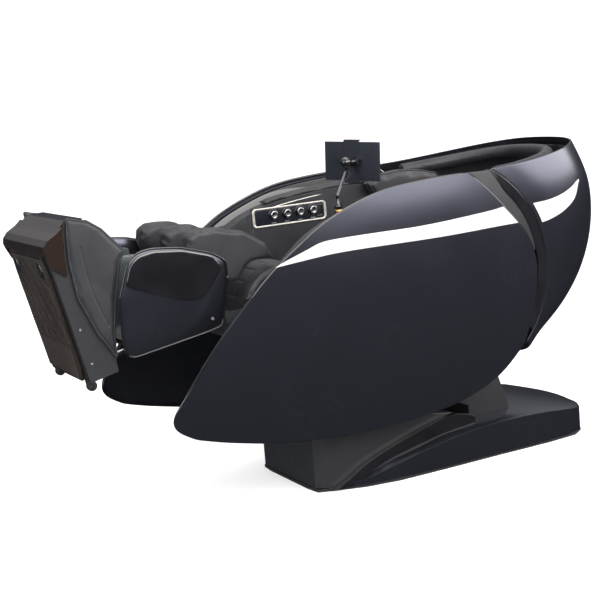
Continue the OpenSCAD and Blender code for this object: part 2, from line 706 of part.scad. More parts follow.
// Foam sections of the back cushion, round the channel that the rollers run in.
// Its lower end turns inside a circle about the recline hinge.
hip_r = 213;
channel_x = roller_x[1] + 24;
channel_y = [40, back_len - 50];
channel_n = back_top_n - back_t + roller_r + 10;
module back_cushion() {
    half = console_x - 6;
    rear_n = back_top_n - back_t;
    color(leather_c) in_back() {
        across(-half, half, concat([for (a = [169:11:235]) hip_r * [cos(a), sin(a)]],
            [[20, rear_n], [channel_y[0] - gap, rear_n], [channel_y[0] - gap, -85], [-40, -92], [-120, -72],
            [-172, -30]]));
        across(-half, half, [[channel_y[0], channel_n], [channel_y[1], channel_n], [channel_y[1], -97], [420, -99],
            [220, -92], [60, -84], [channel_y[0], -85]]);
        both() across(channel_x, half, [[channel_y[0], rear_n], [channel_y[1], rear_n],
            [channel_y[1], channel_n - gap], [channel_y[0], channel_n - gap]]);
        across(-half, half, [[channel_y[1] + gap, rear_n + 2], [back_len, rear_n + 20], [back_len, -110],
            [channel_y[1] + gap, -97]]);
    }
}

module head_pillow() {
    color(leather_c) in_back()
        across(-140, 140, [[500, -92], [530, -52], [570, -34], [610, -40], [640, -70], [642, -94], [620, -96],
            [560, -91]]);
}

module shoulder_pads() {
    color(leather_c) in_back() both() across(console_x - 52, console_x - 7, [[194, 100], [204, 208], [262, 215],
        [353, 169], [430, 110], [475, 60], [500, -60], [480, -86], [260, -80], [215, -20]]);
}

// Padded lining of the back shell, from its rim down to the back cushion
function lining_face(inset) = [for (i = [-10:10]) [for (j = [0:5])
    let (p = back_point(mix(0.1, 1, 1 - abs(i) / 10), mix(0.56, 0.97, j / 5), inset)) [p[0] * (i < 0 ? -1 : 1), p[1], p[2]]]];
module hood_lining() {
    color(leather_c) in_body() between(lining_face(wall + soft_gap + 20), lining_face(wall + soft_gap));
}

// Padded roll inside the rim of the back shell
function rim_point(a) =
    let (s = sin(a), c = cos(a)) [(rim_x - 78) * pow(abs(c), 0.75) * (c < 0 ? -1 : 1), 470 + 430 * pow(s, 0.95),
        330 + 40 * pow(s, 1.6)];
module hood_pad() {
    n = 30;
    color(leather_c) in_body() tube([for (i = [0:n]) rim_point(mix(6, 174, i / n))], 28, 10);
}

// ---------------------------------------------------------------- leg rest

// In the leg frame Y runs from the hinge to the sole, and Z stands up from the back of the leg
calf_line = [[204, 15], [264, 16], [501, 31], [522, 39], [523, 95], [492, 212], [431, 310], [398, 327], [349, 324],
    [257, 293], [169, 244], [129, 203], [138, 157]];
guide_v = 30;
guide_x = 120;
module leg_frame() {
    tube_d = rod_d + 10;
    color("#44484e") in_leg() {
        both() {
            difference() {
                union() {
                    bar(cushion_x + 5, frame_x - 2, 0, 0, 2 * hinge_r);
                    across(cushion_x + 5, cushion_x + 11, [[0, -22], [158, 12], [184, 12], [184, 44], [158, 44],
                        [0, 22]]);
                }
                bar(cushion_x, frame_x + 10, 0, 0, pin_d + 2 * fit);
            }
            difference() {
                translate([guide_x, 152, guide_v]) rotate([-90, 0, 0]) cylinder(d = tube_d, h = 330);
                translate([guide_x, 151, guide_v]) rotate([-90, 0, 0]) cylinder(d = rod_d + 2 * fit, h = 332);
            }
        }
        difference() {
            translate([-cushion_x - 11, 158, 16]) cube([2 * cushion_x + 22, 24, 28]);
            both() translate([guide_x, 151, guide_v]) rotate([-90, 0, 0]) cylinder(d = rod_d + 4, h = 302);
        }
        translate([-guide_x, 440, guide_v + rod_d / 2 + 1.5]) cube([2 * guide_x, 24, 9]);
        translate([-calf_half_w + calf_panel_t + gap, 240, guide_v + 17])
            cube([2 * (calf_half_w - calf_panel_t - gap), 250, 5]);
    }
}

module calf_panel() { in_leg() across(calf_half_w - calf_panel_t, calf_half_w, calf_line); }
module calf_panel_left() { color(shell_c) calf_panel(); }
module calf_panel_right() { color(shell_c) mirror([1, 0, 0]) calf_panel(); }

// Raised gloss flap on the outside of each calf panel
module calf_flaps() {
    color(black_c) in_leg() both()
        across(calf_half_w + 0.3, calf_half_w + 6, [[463, 247], [396, 198], [312, 142], [266, 124], [231, 127],
            [148, 190], [172, 240], [257, 288], [349, 318], [398, 321], [427, 305]]);
}

// Linings of the two leg wells: outer walls, middle wall and floors
well_x = calf_half_w - calf_panel_t - 30;
module calf_pads() {
    top_front = [[500, 60], [470, 205], [414, 300], [380, 308], [262, 270], [250, 60]];
    color(lining_c) in_leg() {
        both() across(well_x, calf_half_w - calf_panel_t - soft_gap / 2, top_front);
        across(-divider_half_w, divider_half_w, [[500, 60], [474, 190], [420, 270], [380, 290], [262, 262], [250, 60]]);
        both() across(divider_half_w + soft_gap, well_x - soft_gap, [[496, 58], [488, 84], [260, 96], [180, 110],
            [176, 70], [230, 58]]);
    }
}

// Cushions beside and between the knees
module knee_pads() {
    side = [[-50, 150], [-34, 212], [28, 269], [122, 312], [188, 326], [221, 315], [236, 283], [236, 215], [180, 140],
        [110, 112], [40, 150]];
    color(leather_c) in_leg() {
        both() across(cushion_x - 66, cushion_x - 2, side);
        across(-divider_half_w, divider_half_w, side);
    }
}

// ---------------------------------------------------------------- foot box

// In the foot frame Y is measured back from the sole plate
module in_foot() { in_leg() translate([0, leg_len, 0]) mirror([0, 1, 0]) children(); }

wall_line = [[0, 0], [0, 396], [18, 424], [62, 446], [84, 486], [148, 466], [183, 428], [233, 336], [210, 318],
    [157, 206], [119, 107], [97, 34], [92, 0]];
fin_line = [[97, 36], [60, 131], [37, 253], [47, 369], [62, 432], [84, 500], [148, 471], [183, 433], [233, 338],
    [210, 320], [157, 206], [119, 107]];
module foot_box() {
    color("#101012") in_foot() {
        both() across(foot_half_w - foot_wall, foot_half_w, wall_line);
        translate([-foot_half_w + 1, 1, 0]) cube([2 * foot_half_w - 2, foot_wall, 396]);
        translate([-foot_half_w + 1, 1, 0]) cube([2 * foot_half_w - 2, 91, foot_wall]);
        for (x = [-154, 154]) for (s = [-1, 1]) difference() {
            translate([x + s * 10 - 2, 0, -26]) cube([4, 24, 27]);
            bar(x - 20, x + 20, 12, -22, 6 + 2 * fit);
        }
    }
}

module sole_plate() {
    half = foot_half_w - 39;
    color("#1d1712") in_foot() translate([0, -0.5, 0]) rotate([90, 0, 0]) linear_extrude(9)
        polygon([[-half + 22, 0], [half - 22, 0], [half, 40], [half + 4, 340], [half - 10, 403], [10 - half, 403],
            [-half - 4, 340], [-half, 40]]);
}

// Cap over the toe end: a bar between the walls, a hood over their corners and a cheek down each side
cap_front = [[-9, 405], [-11, 420], [-5, 436], [12, 450], [44, 461]];
module toe_cap() {
    inside = foot_half_w - foot_wall - gap;
    color("#2b211a") in_foot() {
        across(-inside, inside, concat(cap_front, [[60, 469], [88, 484], [140, 474], [140, 464], [84, 468], [60, 452],
            [12, 436], [12, 405]]));
        both() across(inside - 3, foot_half_w + 12,
            concat(cap_front, [[60, 469], [66, 474], [70, 470], [60, 449], [16, 427.5], [1, 405]]));
        both() across(foot_half_w + 0.5, foot_half_w + 12,
            concat(cap_front, [[60, 469], [57, 425], [44, 380], [36, 330], [0, 368], [-6, 392]]));
    }
}

module foot_lining() {
    half = foot_half_w - foot_wall - soft_gap;
    color(lining_c) in_foot() {
        across(-half, half, [[46, 46], [46, 396], [62, 396], [70, 62], [94, 56], [94, 46]]);
        across(-divider_half_w + 6, divider_half_w - 6, [[72, 64], [64, 390], [100, 400], [160, 380], [190, 330],
            [150, 200], [120, 90], [100, 58]]);
    }
}

module side_fins() {
    color(leather_c) in_foot() both() across(foot_half_w + 0.5, foot_half_w + 12, fin_line);
}

module foot_rods() {
    color(steel_c) in_foot() both()
        translate([guide_x, foot_wall + 2, guide_v]) rotate([-90, 0, 0]) cylinder(d = rod_d, h = 400);
}

module foot_roller() {
    color("#6a6d70") in_foot() {
        bar(-foot_half_w + foot_wall + 1, foot_half_w - foot_wall - 1, 29, 200, 8);
        both() for (i = [0:2]) bar(30 + 46 * i, 58 + 46 * i, 29, 200, 26);
    }
}

module caster(x) {
    color("#8a8d90") in_foot() difference() {
        bar(x - 7, x + 7, 12, -22, 2 * caster_r);
        bar(x - 8, x + 8, 12, -22, 6 + 2 * fit);
    }
}
module caster_left() { caster(154); }
module caster_right() { caster(-154); }

base_pan();
base_cover();
arch_covers();
mechanism_housing();
pedestal();
slide_rails();
rubber_feet();
power_inlet();
slide_frame();
slide_motor();
seat_frame();
side_shell_left();
side_shell_right();
edge_trims();
band_left();
band_right();
band_gloss();
side_stripes();
console_left();
console_right();
rim_covers();
arm_pads();
control_panel();
seat_cushion();
back_frame();
guide_rails();
rear_shell();
rear_stripes();
back_cushion();
head_pillow();
shoulder_pads();
hood_lining();
hood_pad();
roller_carriage();
upper_rollers();
lower_rollers();
leg_frame();
calf_panel_left();
calf_panel_right();
calf_flaps();
calf_pads();
knee_pads();
foot_box();
sole_plate();
toe_cap();
foot_lining();
side_fins();
foot_rods();
foot_roller();
caster_left();
caster_right();
tablet_arm();
tablet_lead();
ball_socket();
tablet();
knob_1();
knob_2();
knob_3();
knob_4();
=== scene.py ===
"""Looks of a reclining massage chair, built round its frame. Metres, feet along -Y, sitter's left on +X."""
import json
import math

import bmesh
import bpy
import numpy as np
from mathutils import Matrix, Vector
from mathutils.bvhtree import BVHTree
from mathutils.kdtree import KDTree

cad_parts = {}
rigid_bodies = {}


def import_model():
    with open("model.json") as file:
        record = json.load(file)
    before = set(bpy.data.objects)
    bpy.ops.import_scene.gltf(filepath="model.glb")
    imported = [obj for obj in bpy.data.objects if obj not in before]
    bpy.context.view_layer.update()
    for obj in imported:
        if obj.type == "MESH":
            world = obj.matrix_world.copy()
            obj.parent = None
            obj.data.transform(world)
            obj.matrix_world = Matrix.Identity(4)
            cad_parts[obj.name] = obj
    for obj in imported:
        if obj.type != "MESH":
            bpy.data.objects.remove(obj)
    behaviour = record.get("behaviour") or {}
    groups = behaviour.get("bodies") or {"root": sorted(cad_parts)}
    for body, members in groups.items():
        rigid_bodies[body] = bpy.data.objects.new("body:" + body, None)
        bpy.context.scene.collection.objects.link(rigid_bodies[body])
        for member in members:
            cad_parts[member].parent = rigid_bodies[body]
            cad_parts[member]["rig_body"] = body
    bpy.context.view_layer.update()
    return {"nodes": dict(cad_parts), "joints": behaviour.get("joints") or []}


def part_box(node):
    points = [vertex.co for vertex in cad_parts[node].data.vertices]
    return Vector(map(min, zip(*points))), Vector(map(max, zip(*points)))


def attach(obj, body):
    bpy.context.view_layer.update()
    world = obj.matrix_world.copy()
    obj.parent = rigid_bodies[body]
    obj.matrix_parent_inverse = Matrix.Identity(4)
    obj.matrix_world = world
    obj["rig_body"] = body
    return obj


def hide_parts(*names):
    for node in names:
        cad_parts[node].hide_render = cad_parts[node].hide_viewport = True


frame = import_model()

NODES = frame["nodes"]
JOINTS = {j["name"]: j for j in frame["joints"]}
X = np.array([1.0, 0, 0])
SIDES = ((1, "left"), (-1, "right"))
CLOTH_FRAMES = 20


# ---------------------------------------------------------------- places

class Place:
    """A local frame: x across, y along, z out. It starts at a joint."""

    def __init__(self, origin, along, sign=1.0):
        self.o = np.array(origin, float)
        self.y = np.array(along, float) / np.linalg.norm(along)
        self.z = sign * np.cross(X, self.y)

    def at(self, x, y, z):
        return self.o + x * X + y * self.y + z * self.z

    def local(self, points):
        p = np.asarray(points, float) - self.o
        return np.stack([p @ X, p @ self.y, p @ self.z], -1)

    def box(self, node):
        p = self.local(points_of(node))
        return p.min(0), p.max(0)


def points_of(node):
    return np.array([v.co for v in NODES[node].data.vertices], float)


def places():
    leg = Place(JOINTS["leg_lift"]["pos_m"], JOINTS["foot_extend"]["axis"], -1.0)
    back = Place(JOINTS["back_recline"]["pos_m"], JOINTS["roller_travel"]["axis"])
    body = Place((0, 0, 0), (0, 1, 0))
    return body, back, leg


BODY, BACK, LEG = places()


# ---------------------------------------------------------------- materials

class Look:
    """One procedural material."""

    def __init__(self, name, colour, rough, **sockets):
        self.m = bpy.data.materials.new(name)
        self.m.use_nodes = True
        self.t = self.m.node_tree
        self.b = self.t.nodes["Principled BSDF"]
        self.b.inputs["Base Color"].default_value = (*colour, 1)
        self.b.inputs["Roughness"].default_value = rough
        for key, value in sockets.items():
            self.b.inputs[key.replace("_", " ").title().replace("Ior", "IOR")].default_value = value
        self.colour, self.rough, self.normal = colour, rough, None
        self.where = self.t.nodes.new("ShaderNodeTexCoord").outputs["Object"]

    def node(self, kind, **inputs):
        n = self.t.nodes.new(kind)
        for key, value in inputs.items():
            socket = n.inputs[key.replace("_", " ")]
            if isinstance(value, bpy.types.NodeSocket):
                self.t.links.new(value, socket)
            else:
                socket.default_value = value
        return n

    def stretched(self, stretch=(1, 1, 1)):
        return self.node("ShaderNodeMapping", Vector=self.where, Scale=stretch).outputs[0]

    def noise(self, scale, detail=3.0, stretch=(1, 1, 1)):
        where = self.stretched(stretch)
        return self.node("ShaderNodeTexNoise", Vector=where, Scale=scale, Detail=detail).outputs[0]

    def cells(self, scale):
        n = self.node("ShaderNodeTexVoronoi", Vector=self.where, Scale=scale)
        n.feature = "DISTANCE_TO_EDGE"
        return n.outputs["Distance"]

    def waves(self, scale, axis):
        n = self.node("ShaderNodeTexWave", Vector=self.stretched(), Scale=scale, Distortion=0.4)
        n.bands_direction = axis
        return n.outputs["Fac"]

    def ramp(self, fac, low, high, to_low=0.0, to_high=1.0):
        n = self.node("ShaderNodeMapRange", Value=fac)
        for i, v in enumerate((low, high, to_low, to_high)):
            n.inputs[i + 1].default_value = v
        return n.outputs[0]

    def maths(self, kind, a, b):
        n = self.t.nodes.new("ShaderNodeMath")
        n.operation = kind
        for s, v in zip(n.inputs, (a, b)):
            if isinstance(v, bpy.types.NodeSocket):
                self.t.links.new(v, s)
            else:
                s.default_value = v
        return n.outputs[0]

    def tint(self, fac, other, low=0.3, high=0.7, amount=1.0):
        n = self.t.nodes.new("ShaderNodeMix")
        n.data_type = "RGBA"
        self.t.links.new(self.ramp(fac, low, high, 0.0, amount), n.inputs[0])
        base = self.b.inputs["Base Color"]
        if base.is_linked:
            self.t.links.new(base.links[0].from_socket, n.inputs[6])
        else:
            n.inputs[6].default_value = base.default_value
        n.inputs[7].default_value = (*other, 1)
        self.t.links.new(n.outputs[2], base)
        return self

    def roughen(self, fac, low, high):
        self.t.links.new(self.ramp(fac, 0.3, 0.7, low, high), self.b.inputs["Roughness"])
        return self

    def bump(self, height, strength, distance):
        n = self.node("ShaderNodeBump", Height=height, Strength=strength, Distance=distance)
        if self.normal:
            self.t.links.new(self.normal, n.inputs["Normal"])
        self.normal = n.outputs[0]
        self.t.links.new(self.normal, self.b.inputs["Normal"])
        return self

    def worn(self, other, low=0.53, high=0.62, amount=0.5):
        edges = self.t.nodes.new("ShaderNodeNewGeometry").outputs["Pointiness"]
        return self.tint(edges, other, low, high, amount)


def shell_paint():
    k = Look("shell_paint", (0.070, 0.075, 0.096), 0.25, metallic=0.9, coat_weight=0.15, coat_roughness=0.15)
    k.tint(k.noise(2600, 1), (0.10, 0.105, 0.13), 0.55, 0.8, 0.5)
    k.roughen(k.noise(5, 4), 0.23, 0.28)
    return k.bump(k.noise(900, 2), 0.02, 0.0001).m


def dark_plastic():
    k = Look("moulded_plastic", (0.017, 0.018, 0.021), 0.42, coat_weight=0.1, coat_roughness=0.3)
    k.roughen(k.noise(30, 4), 0.36, 0.48).worn((0.05, 0.052, 0.058))
    return k.bump(k.noise(700, 3), 0.25, 0.0004).m


def gloss_black():
    k = Look("gloss_black", (0.006, 0.006, 0.007), 0.08, coat_weight=1.0, coat_roughness=0.03)
    k.tint(k.noise(12, 5), (0.010, 0.010, 0.012), 0.4, 0.7)
    return k.roughen(k.noise(60, 4), 0.06, 0.12).m


def stripe_metal():
    k = Look("stripe_metal", (0.74, 0.73, 0.73), 0.3, metallic=0.4, coat_weight=0.3, coat_roughness=0.14)
    lines = k.noise(500, 2, (1, 0.012, 5))
    k.tint(lines, (0.80, 0.79, 0.79), 0.3, 0.7, 0.6)
    return k.roughen(lines, 0.26, 0.34).bump(lines, 0.03, 0.0001).m


def leather():
    light = (0.036, 0.037, 0.044)
    soft = {"specular_ior_level": 0.5, "sheen_weight": 0.06, "sheen_roughness": 0.4}
    k = Look("leather", (0.015, 0.016, 0.020), 0.40, **soft)
    grain = k.maths("ADD", k.ramp(k.cells(520), 0.0, 0.16), k.ramp(k.cells(240), 0.0, 0.10, 0.0, 0.6))
    k.tint(k.noise(14, 5), light, 0.42, 0.75, 0.5).worn(light, 0.52, 0.6, 0.7)
    k.roughen(k.noise(45, 5), 0.33, 0.48)
    return k.bump(grain, 0.28, 0.0005).bump(k.noise(22, 4), 0.16, 0.004).m


def lining():
    k = Look("woven_lining", (0.032, 0.046, 0.050), 0.78, sheen_weight=0.5, sheen_roughness=0.45)
    warp, weft = k.waves(210, "Y"), k.waves(210, "X")
    weave = k.maths("MAXIMUM", k.maths("MULTIPLY", warp, k.ramp(k.waves(105, "X"), 0.3, 0.7)), weft)
    rise = k.waves(210, "Z")
    cloth = k.maths("ADD", weave, rise)
    k.tint(k.noise(300, 3), (0.075, 0.098, 0.104), 0.35, 0.75, 0.7)
    k.tint(k.noise(7, 4), (0.022, 0.033, 0.037), 0.45, 0.75, 0.6)
    return k.bump(cloth, 0.4, 0.0006).m


def brushed_steel():
    k = Look("brushed_steel", (0.50, 0.51, 0.53), 0.28, metallic=1.0, anisotropic=0.5)
    lines = k.noise(160, 3, (0.05, 1, 1))
    k.tint(k.noise(9, 4), (0.38, 0.39, 0.41), 0.4, 0.7)
    return k.roughen(lines, 0.2, 0.38).bump(lines, 0.06, 0.0001).m


def frame_paint():
    k = Look("frame_paint", (0.024, 0.026, 0.029), 0.55)
    k.tint(k.noise(20, 5), (0.036, 0.038, 0.042), 0.4, 0.7).worn((0.12, 0.12, 0.125), 0.56, 0.66, 0.6)
    return k.roughen(k.noise(60, 3), 0.45, 0.62).bump(k.noise(520, 2), 0.35, 0.0006).m


def rubber():
    k = Look("rubber", (0.013, 0.013, 0.014), 0.82)
    k.tint(k.noise(25, 5), (0.030, 0.029, 0.028), 0.5, 0.8)
    return k.roughen(k.noise(80, 4), 0.7, 0.9).bump(k.noise(420, 3), 0.4, 0.0005).m


def bronze():
    k = Look("bronze_gloss", (0.040, 0.026, 0.020), 0.20, metallic=0.65, coat_weight=0.8, coat_roughness=0.06)
    k.tint(k.noise(1800, 1), (0.12, 0.08, 0.06), 0.55, 0.8, 0.5)
    return k.roughen(k.noise(10, 4), 0.16, 0.26).m


def sole():
    k = Look("sole_satin", (0.013, 0.010, 0.009), 0.42, metallic=0.2, coat_weight=0.15, coat_roughness=0.3)
    k.tint(k.noise(8, 4), (0.034, 0.026, 0.021), 0.35, 0.7).worn((0.07, 0.055, 0.045), 0.53, 0.62, 0.6)
    return k.roughen(k.noise(40, 4), 0.34, 0.5).bump(k.noise(600, 3), 0.22, 0.0004).m


def knob_metal():
    k = Look("knob_metal", (0.62, 0.63, 0.65), 0.24, metallic=1.0, anisotropic=0.4)
    k.tint(k.noise(40, 3), (0.5, 0.51, 0.53), 0.4, 0.7)
    return k.roughen(k.noise(120, 3, (0.1, 1, 1)), 0.18, 0.32).m


def tablet_shell():
    k = Look("tablet_shell", (0.010, 0.013, 0.021), 0.34, metallic=0.3, coat_weight=0.2, coat_roughness=0.2)
    k.roughen(k.noise(25, 4), 0.3, 0.42).worn((0.04, 0.045, 0.06))
    return k.bump(k.noise(900, 2), 0.12, 0.0002).m


def screen_glass():
    k = Look("screen_glass", (0.004, 0.005, 0.007), 0.05, coat_weight=1.0, coat_roughness=0.02)
    return k.roughen(k.noise(18, 5), 0.04, 0.11).m


def roller_plastic():
    k = Look("roller_plastic", (0.16, 0.15, 0.14), 0.45)
    k.tint(k.noise(30, 4), (0.2, 0.19, 0.175), 0.4, 0.7)
    return k.roughen(k.noise(60, 4), 0.38, 0.52).bump(k.noise(500, 2), 0.2, 0.0004).m


def pale_line():
    k = Look("pale_line", (0.62, 0.60, 0.56), 0.3, metallic=0.4, coat_weight=0.3)
    return k.roughen(k.noise(70, 3), 0.22, 0.38).m


def marking():
    k = Look("panel_marks", (0.55, 0.56, 0.58), 0.5)
    return k.tint(k.noise(300, 2), (0.45, 0.46, 0.48), 0.4, 0.7).m


def dark_chrome():
    k = Look("dark_chrome", (0.10, 0.10, 0.11), 0.2, metallic=1.0)
    return k.roughen(k.noise(60, 3), 0.14, 0.28).m


def brass():
    k = Look("brass", (0.55, 0.36, 0.14), 0.28, metallic=1.0)
    return k.roughen(k.noise(150, 3), 0.22, 0.36).m


def thread():
    k = Look("thread", (0.05, 0.055, 0.06), 0.7, sheen_weight=0.3)
    k.tint(k.noise(200, 2), (0.085, 0.09, 0.095), 0.4, 0.7)
    return k.bump(k.noise(900, 2), 0.3, 0.0003).m


def floor_paint():
    glow = {"emission_color": (1, 1, 1, 1), "emission_strength": 0.42}
    k = Look("floor", (0.86, 0.86, 0.86), 0.6, specular_ior_level=0.1, **glow)
    return k.tint(k.noise(3, 3), (0.88, 0.88, 0.88), 0.3, 0.7).m


MATERIAL = {
    "shell": shell_paint(), "dark_plastic": dark_plastic(), "gloss_black": gloss_black(),
    "stripe": stripe_metal(), "leather": leather(), "lining": lining(), "steel": brushed_steel(),
    "frame_paint": frame_paint(), "rubber": rubber(), "bronze": bronze(), "sole": sole(),
    "knob_metal": knob_metal(), "tablet": tablet_shell(), "roller": roller_plastic(), "glass": screen_glass(),
    "pale": pale_line(), "mark": marking(), "brass": brass(), "thread": thread(), "floor": floor_paint(),
    "dark_chrome": dark_chrome(),
}


# ---------------------------------------------------------------- mesh helpers

def piece(name, body, look, bm, stands_for=(), smooth=True):
    mesh = bpy.data.meshes.new(name)
    bm.to_mesh(mesh)
    bm.free()
    for poly in mesh.polygons:
        poly.use_smooth = smooth
    if "custom_normal" in mesh.attributes:
        mesh.attributes.remove(mesh.attributes["custom_normal"])
    mesh.materials.clear()
    mesh.materials.append(MATERIAL[look])
    obj = bpy.data.objects.new(name, mesh)
    bpy.context.scene.collection.objects.link(obj)
    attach(obj, body)
    if stands_for:
        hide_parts(*([stands_for] if isinstance(stands_for, str) else stands_for))
    return obj


def from_grid(rows, closed=False):
    """bmesh of a grid of points; closed joins the last column to the first."""
    bm = bmesh.new()
    made = [[bm.verts.new(p) for p in row] for row in rows]
    n = len(made[0])
    for a, b in zip(made, made[1:]):
        for j in range(n if closed else n - 1):
            bm.faces.new((a[j], a[(j + 1) % n], b[(j + 1) % n], b[j]))
    return bm, made


def cad_copy(node, flat=False):
    """Welded copy of a CAD node's mesh, with quads on curved grids or whole faces where it is flat."""
    bm = bmesh.new()
    bm.from_mesh(NODES[node].data)
    bmesh.ops.remove_doubles(bm, verts=bm.verts, dist=2e-5)
    for layer in list(bm.loops.layers.uv.values()):
        bm.loops.layers.uv.remove(layer)
    if flat:
        bmesh.ops.dissolve_limit(bm, angle_limit=0.01, verts=bm.verts, edges=bm.edges)
    else:
        bmesh.ops.join_triangles(bm, faces=bm.faces, angle_face_threshold=0.6, angle_shape_threshold=2.5)
    return bm


def bevel(obj, width, segments=2, angle=32):
    m = obj.modifiers.new("edges", "BEVEL")
    m.width, m.segments, m.limit_method, m.angle_limit = width, segments, "ANGLE", math.radians(angle)
    m.harden_normals = False
    return obj


def subdivide(obj, levels=1):
    m = obj.modifiers.new("smooth", "SUBSURF")
    m.levels = m.render_levels = levels
    return obj


def even_normals(obj):
    m = obj.modifiers.new("normals", "WEIGHTED_NORMAL")
    m.keep_sharp, m.weight = False, 60
    return obj


def smooth_copy(node, body, look, rim=0.0025, levels=2):
    obj = piece(node + "_skin", body, look, cad_copy(node), node)
    return subdivide(bevel(obj, rim), levels)


def crisp_copy(node, body, look, edge=0.002, segments=3, name=None):
    obj = piece(name or node + "_body", body, look, cad_copy(node, flat=True), node)
    return even_normals(bevel(obj, edge, segments, 25))


def keep_node(node, look, edge=0.0008):
    """A CAD node whose shape is right: it stays, with soft edges and a real finish."""
    obj = NODES[node]
    obj.data.materials.clear()
    obj.data.materials.append(MATERIAL[look])
    obj.data.polygons.foreach_set("material_index", [0] * len(obj.data.polygons))
    weld = obj.modifiers.new("weld", "WELD")
    weld.merge_threshold = 2e-5
    if edge:
        bevel(obj, edge, 2, 30)
    even_normals(obj)


def tube(points, radius, sides=8, caps=True):
    """bmesh of a round tube along points."""
    p = np.asarray(points, float)
    r = np.full(len(p), radius) if np.isscalar(radius) else np.asarray(radius)
    way = np.gradient(p, axis=0)
    way /= np.linalg.norm(way, axis=1)[:, None]
    side = np.cross(way[0], [0.31, 0.9, 0.28])
    rows = []
    for c, w, k in zip(p, way, r):
        side = side - w * (side @ w)
        side /= np.linalg.norm(side)
        other = np.cross(w, side)
        rows.append([c + k * (math.cos(a) * side + math.sin(a) * other)
                     for a in np.linspace(0, 2 * math.pi, sides, endpoint=False)])
    bm, made = from_grid(rows, closed=True)
    if caps:
        bm.faces.new(made[0][::-1])
        bm.faces.new(made[-1])
    return bm


def curve(points, n):
    """n points on a smooth curve through points."""
    p = np.asarray(points, float)
    t = np.linspace(0, len(p) - 1, n)
    out = []
    for s in t:
        i = min(int(s), len(p) - 2)
        u = s - i
        a, b, c, d = p[max(0, i - 1)], p[i], p[i + 1], p[min(len(p) - 1, i + 2)]
        square, cube = 2 * a - 5 * b + 4 * c - d, 3 * b - a - 3 * c + d
        out.append(0.5 * (2 * b + (c - a) * u + square * u * u + cube * u ** 3))
    return np.array(out)


def lathe(centre, axis, profile, sides=32):
    """bmesh turned about an axis: profile is (distance along the axis, radius)."""
    axis = np.array(axis, float) / np.linalg.norm(axis)
    side = np.cross(axis, [0.13, 0.27, 0.95])
    side /= np.linalg.norm(side)
    other = np.cross(axis, side)
    rows = [[np.array(centre) + axis * h + max(r, 1e-5) * (math.cos(a) * side + math.sin(a) * other)
             for a in np.linspace(0, 2 * math.pi, sides, endpoint=False)] for h, r in profile]
    bm, made = from_grid(rows, closed=True)
    bm.faces.new(made[0][::-1])
    bm.faces.new(made[-1])
    bmesh.ops.recalc_face_normals(bm, faces=bm.faces)
    return bm


# ---------------------------------------------------------------- shells

def shells():
    for node in ("side_shell_left", "side_shell_right"):
        smooth_copy(node, "seat", "shell")
    smooth_copy("rear_shell", "backrest", "shell")
    for node in ("band_left", "band_right"):
        smooth_copy(node, "seat", "dark_plastic", 0.0015)
    smooth_copy("band_gloss", "seat", "gloss_black", 0.001)
    smooth_copy("rim_covers", "seat", "gloss_black", 0.0012)
    smooth_copy("edge_trims", "seat", "rubber", 0.0, 1)
    for node, body in (("side_stripes", "seat"), ("rear_stripes", "backrest")):
        smooth_copy(node, body, "stripe", 0.0005, 2)


def hard_parts():
    for node in ("seat_frame", "back_frame", "leg_frame", "slide_frame", "roller_carriage"):
        keep_node(node, "frame_paint")
    for node in ("slide_rails", "guide_rails", "foot_rods", "foot_roller", "slide_motor"):
        keep_node(node, "steel", 0.0006)
    for node, edge in (("base_pan", 0.001), ("pedestal", 0.004), ("mechanism_housing", 0.006),
                       ("power_inlet", 0.001), ("control_panel", 0.0006), ("foot_box", 0.002)):
        keep_node(node, "dark_plastic", edge)
    keep_node("arch_covers", "gloss_black", 0.006)
    keep_node("rubber_feet", "rubber")
    for node in ("upper_rollers", "lower_rollers"):
        keep_node(node, "roller", 0.002)
    for node in ("caster_left", "caster_right"):
        keep_node(node, "rubber", 0.001)
    keep_node("tablet_arm", "dark_chrome", 0)
    keep_node("ball_socket", "gloss_black", 0)
    keep_node("tablet", "tablet", 0.0015)
    for node in ("console_left", "console_right"):
        keep_node(node, "leather", 0.007)
    keep_node("toe_cap", "bronze", 0)
    bevel(NODES["toe_cap"], 0.007, 4, 9)
    smooth_copy("base_cover", "base", "shell", 0.004, 2)


# ---------------------------------------------------------------- padded pieces

def evaluated(obj):
    graph = bpy.context.evaluated_depsgraph_get()
    graph.update()
    return bpy.data.meshes.new_from_object(obj.evaluated_get(graph))


def coords(mesh):
    out = np.empty(len(mesh.vertices) * 3)
    mesh.vertices.foreach_get("co", out)
    return out.reshape(-1, 3)


def normals(mesh):
    out = np.empty(len(mesh.vertices) * 3, np.float32)
    mesh.vertex_normals.foreach_get("vector", out)
    return out.reshape(-1, 3).astype(float)


def set_coords(mesh, points):
    mesh.vertices.foreach_set("co", np.asarray(points, np.float32).ravel())
    mesh.update()


def relax(mesh, points, rounds, share=0.5):
    e = np.empty(len(mesh.edges) * 2, int)
    mesh.edges.foreach_get("vertices", e)
    e = e.reshape(-1, 2)
    count = np.bincount(e.ravel(), minlength=len(points))[:, None]
    for _ in range(rounds):
        total = np.stack([np.bincount(e[:, 0], points[e[:, 1], k], len(points))
                          + np.bincount(e[:, 1], points[e[:, 0], k], len(points)) for k in range(3)], -1)
        points = points + share * (total / np.maximum(count, 1) - points)
    return points


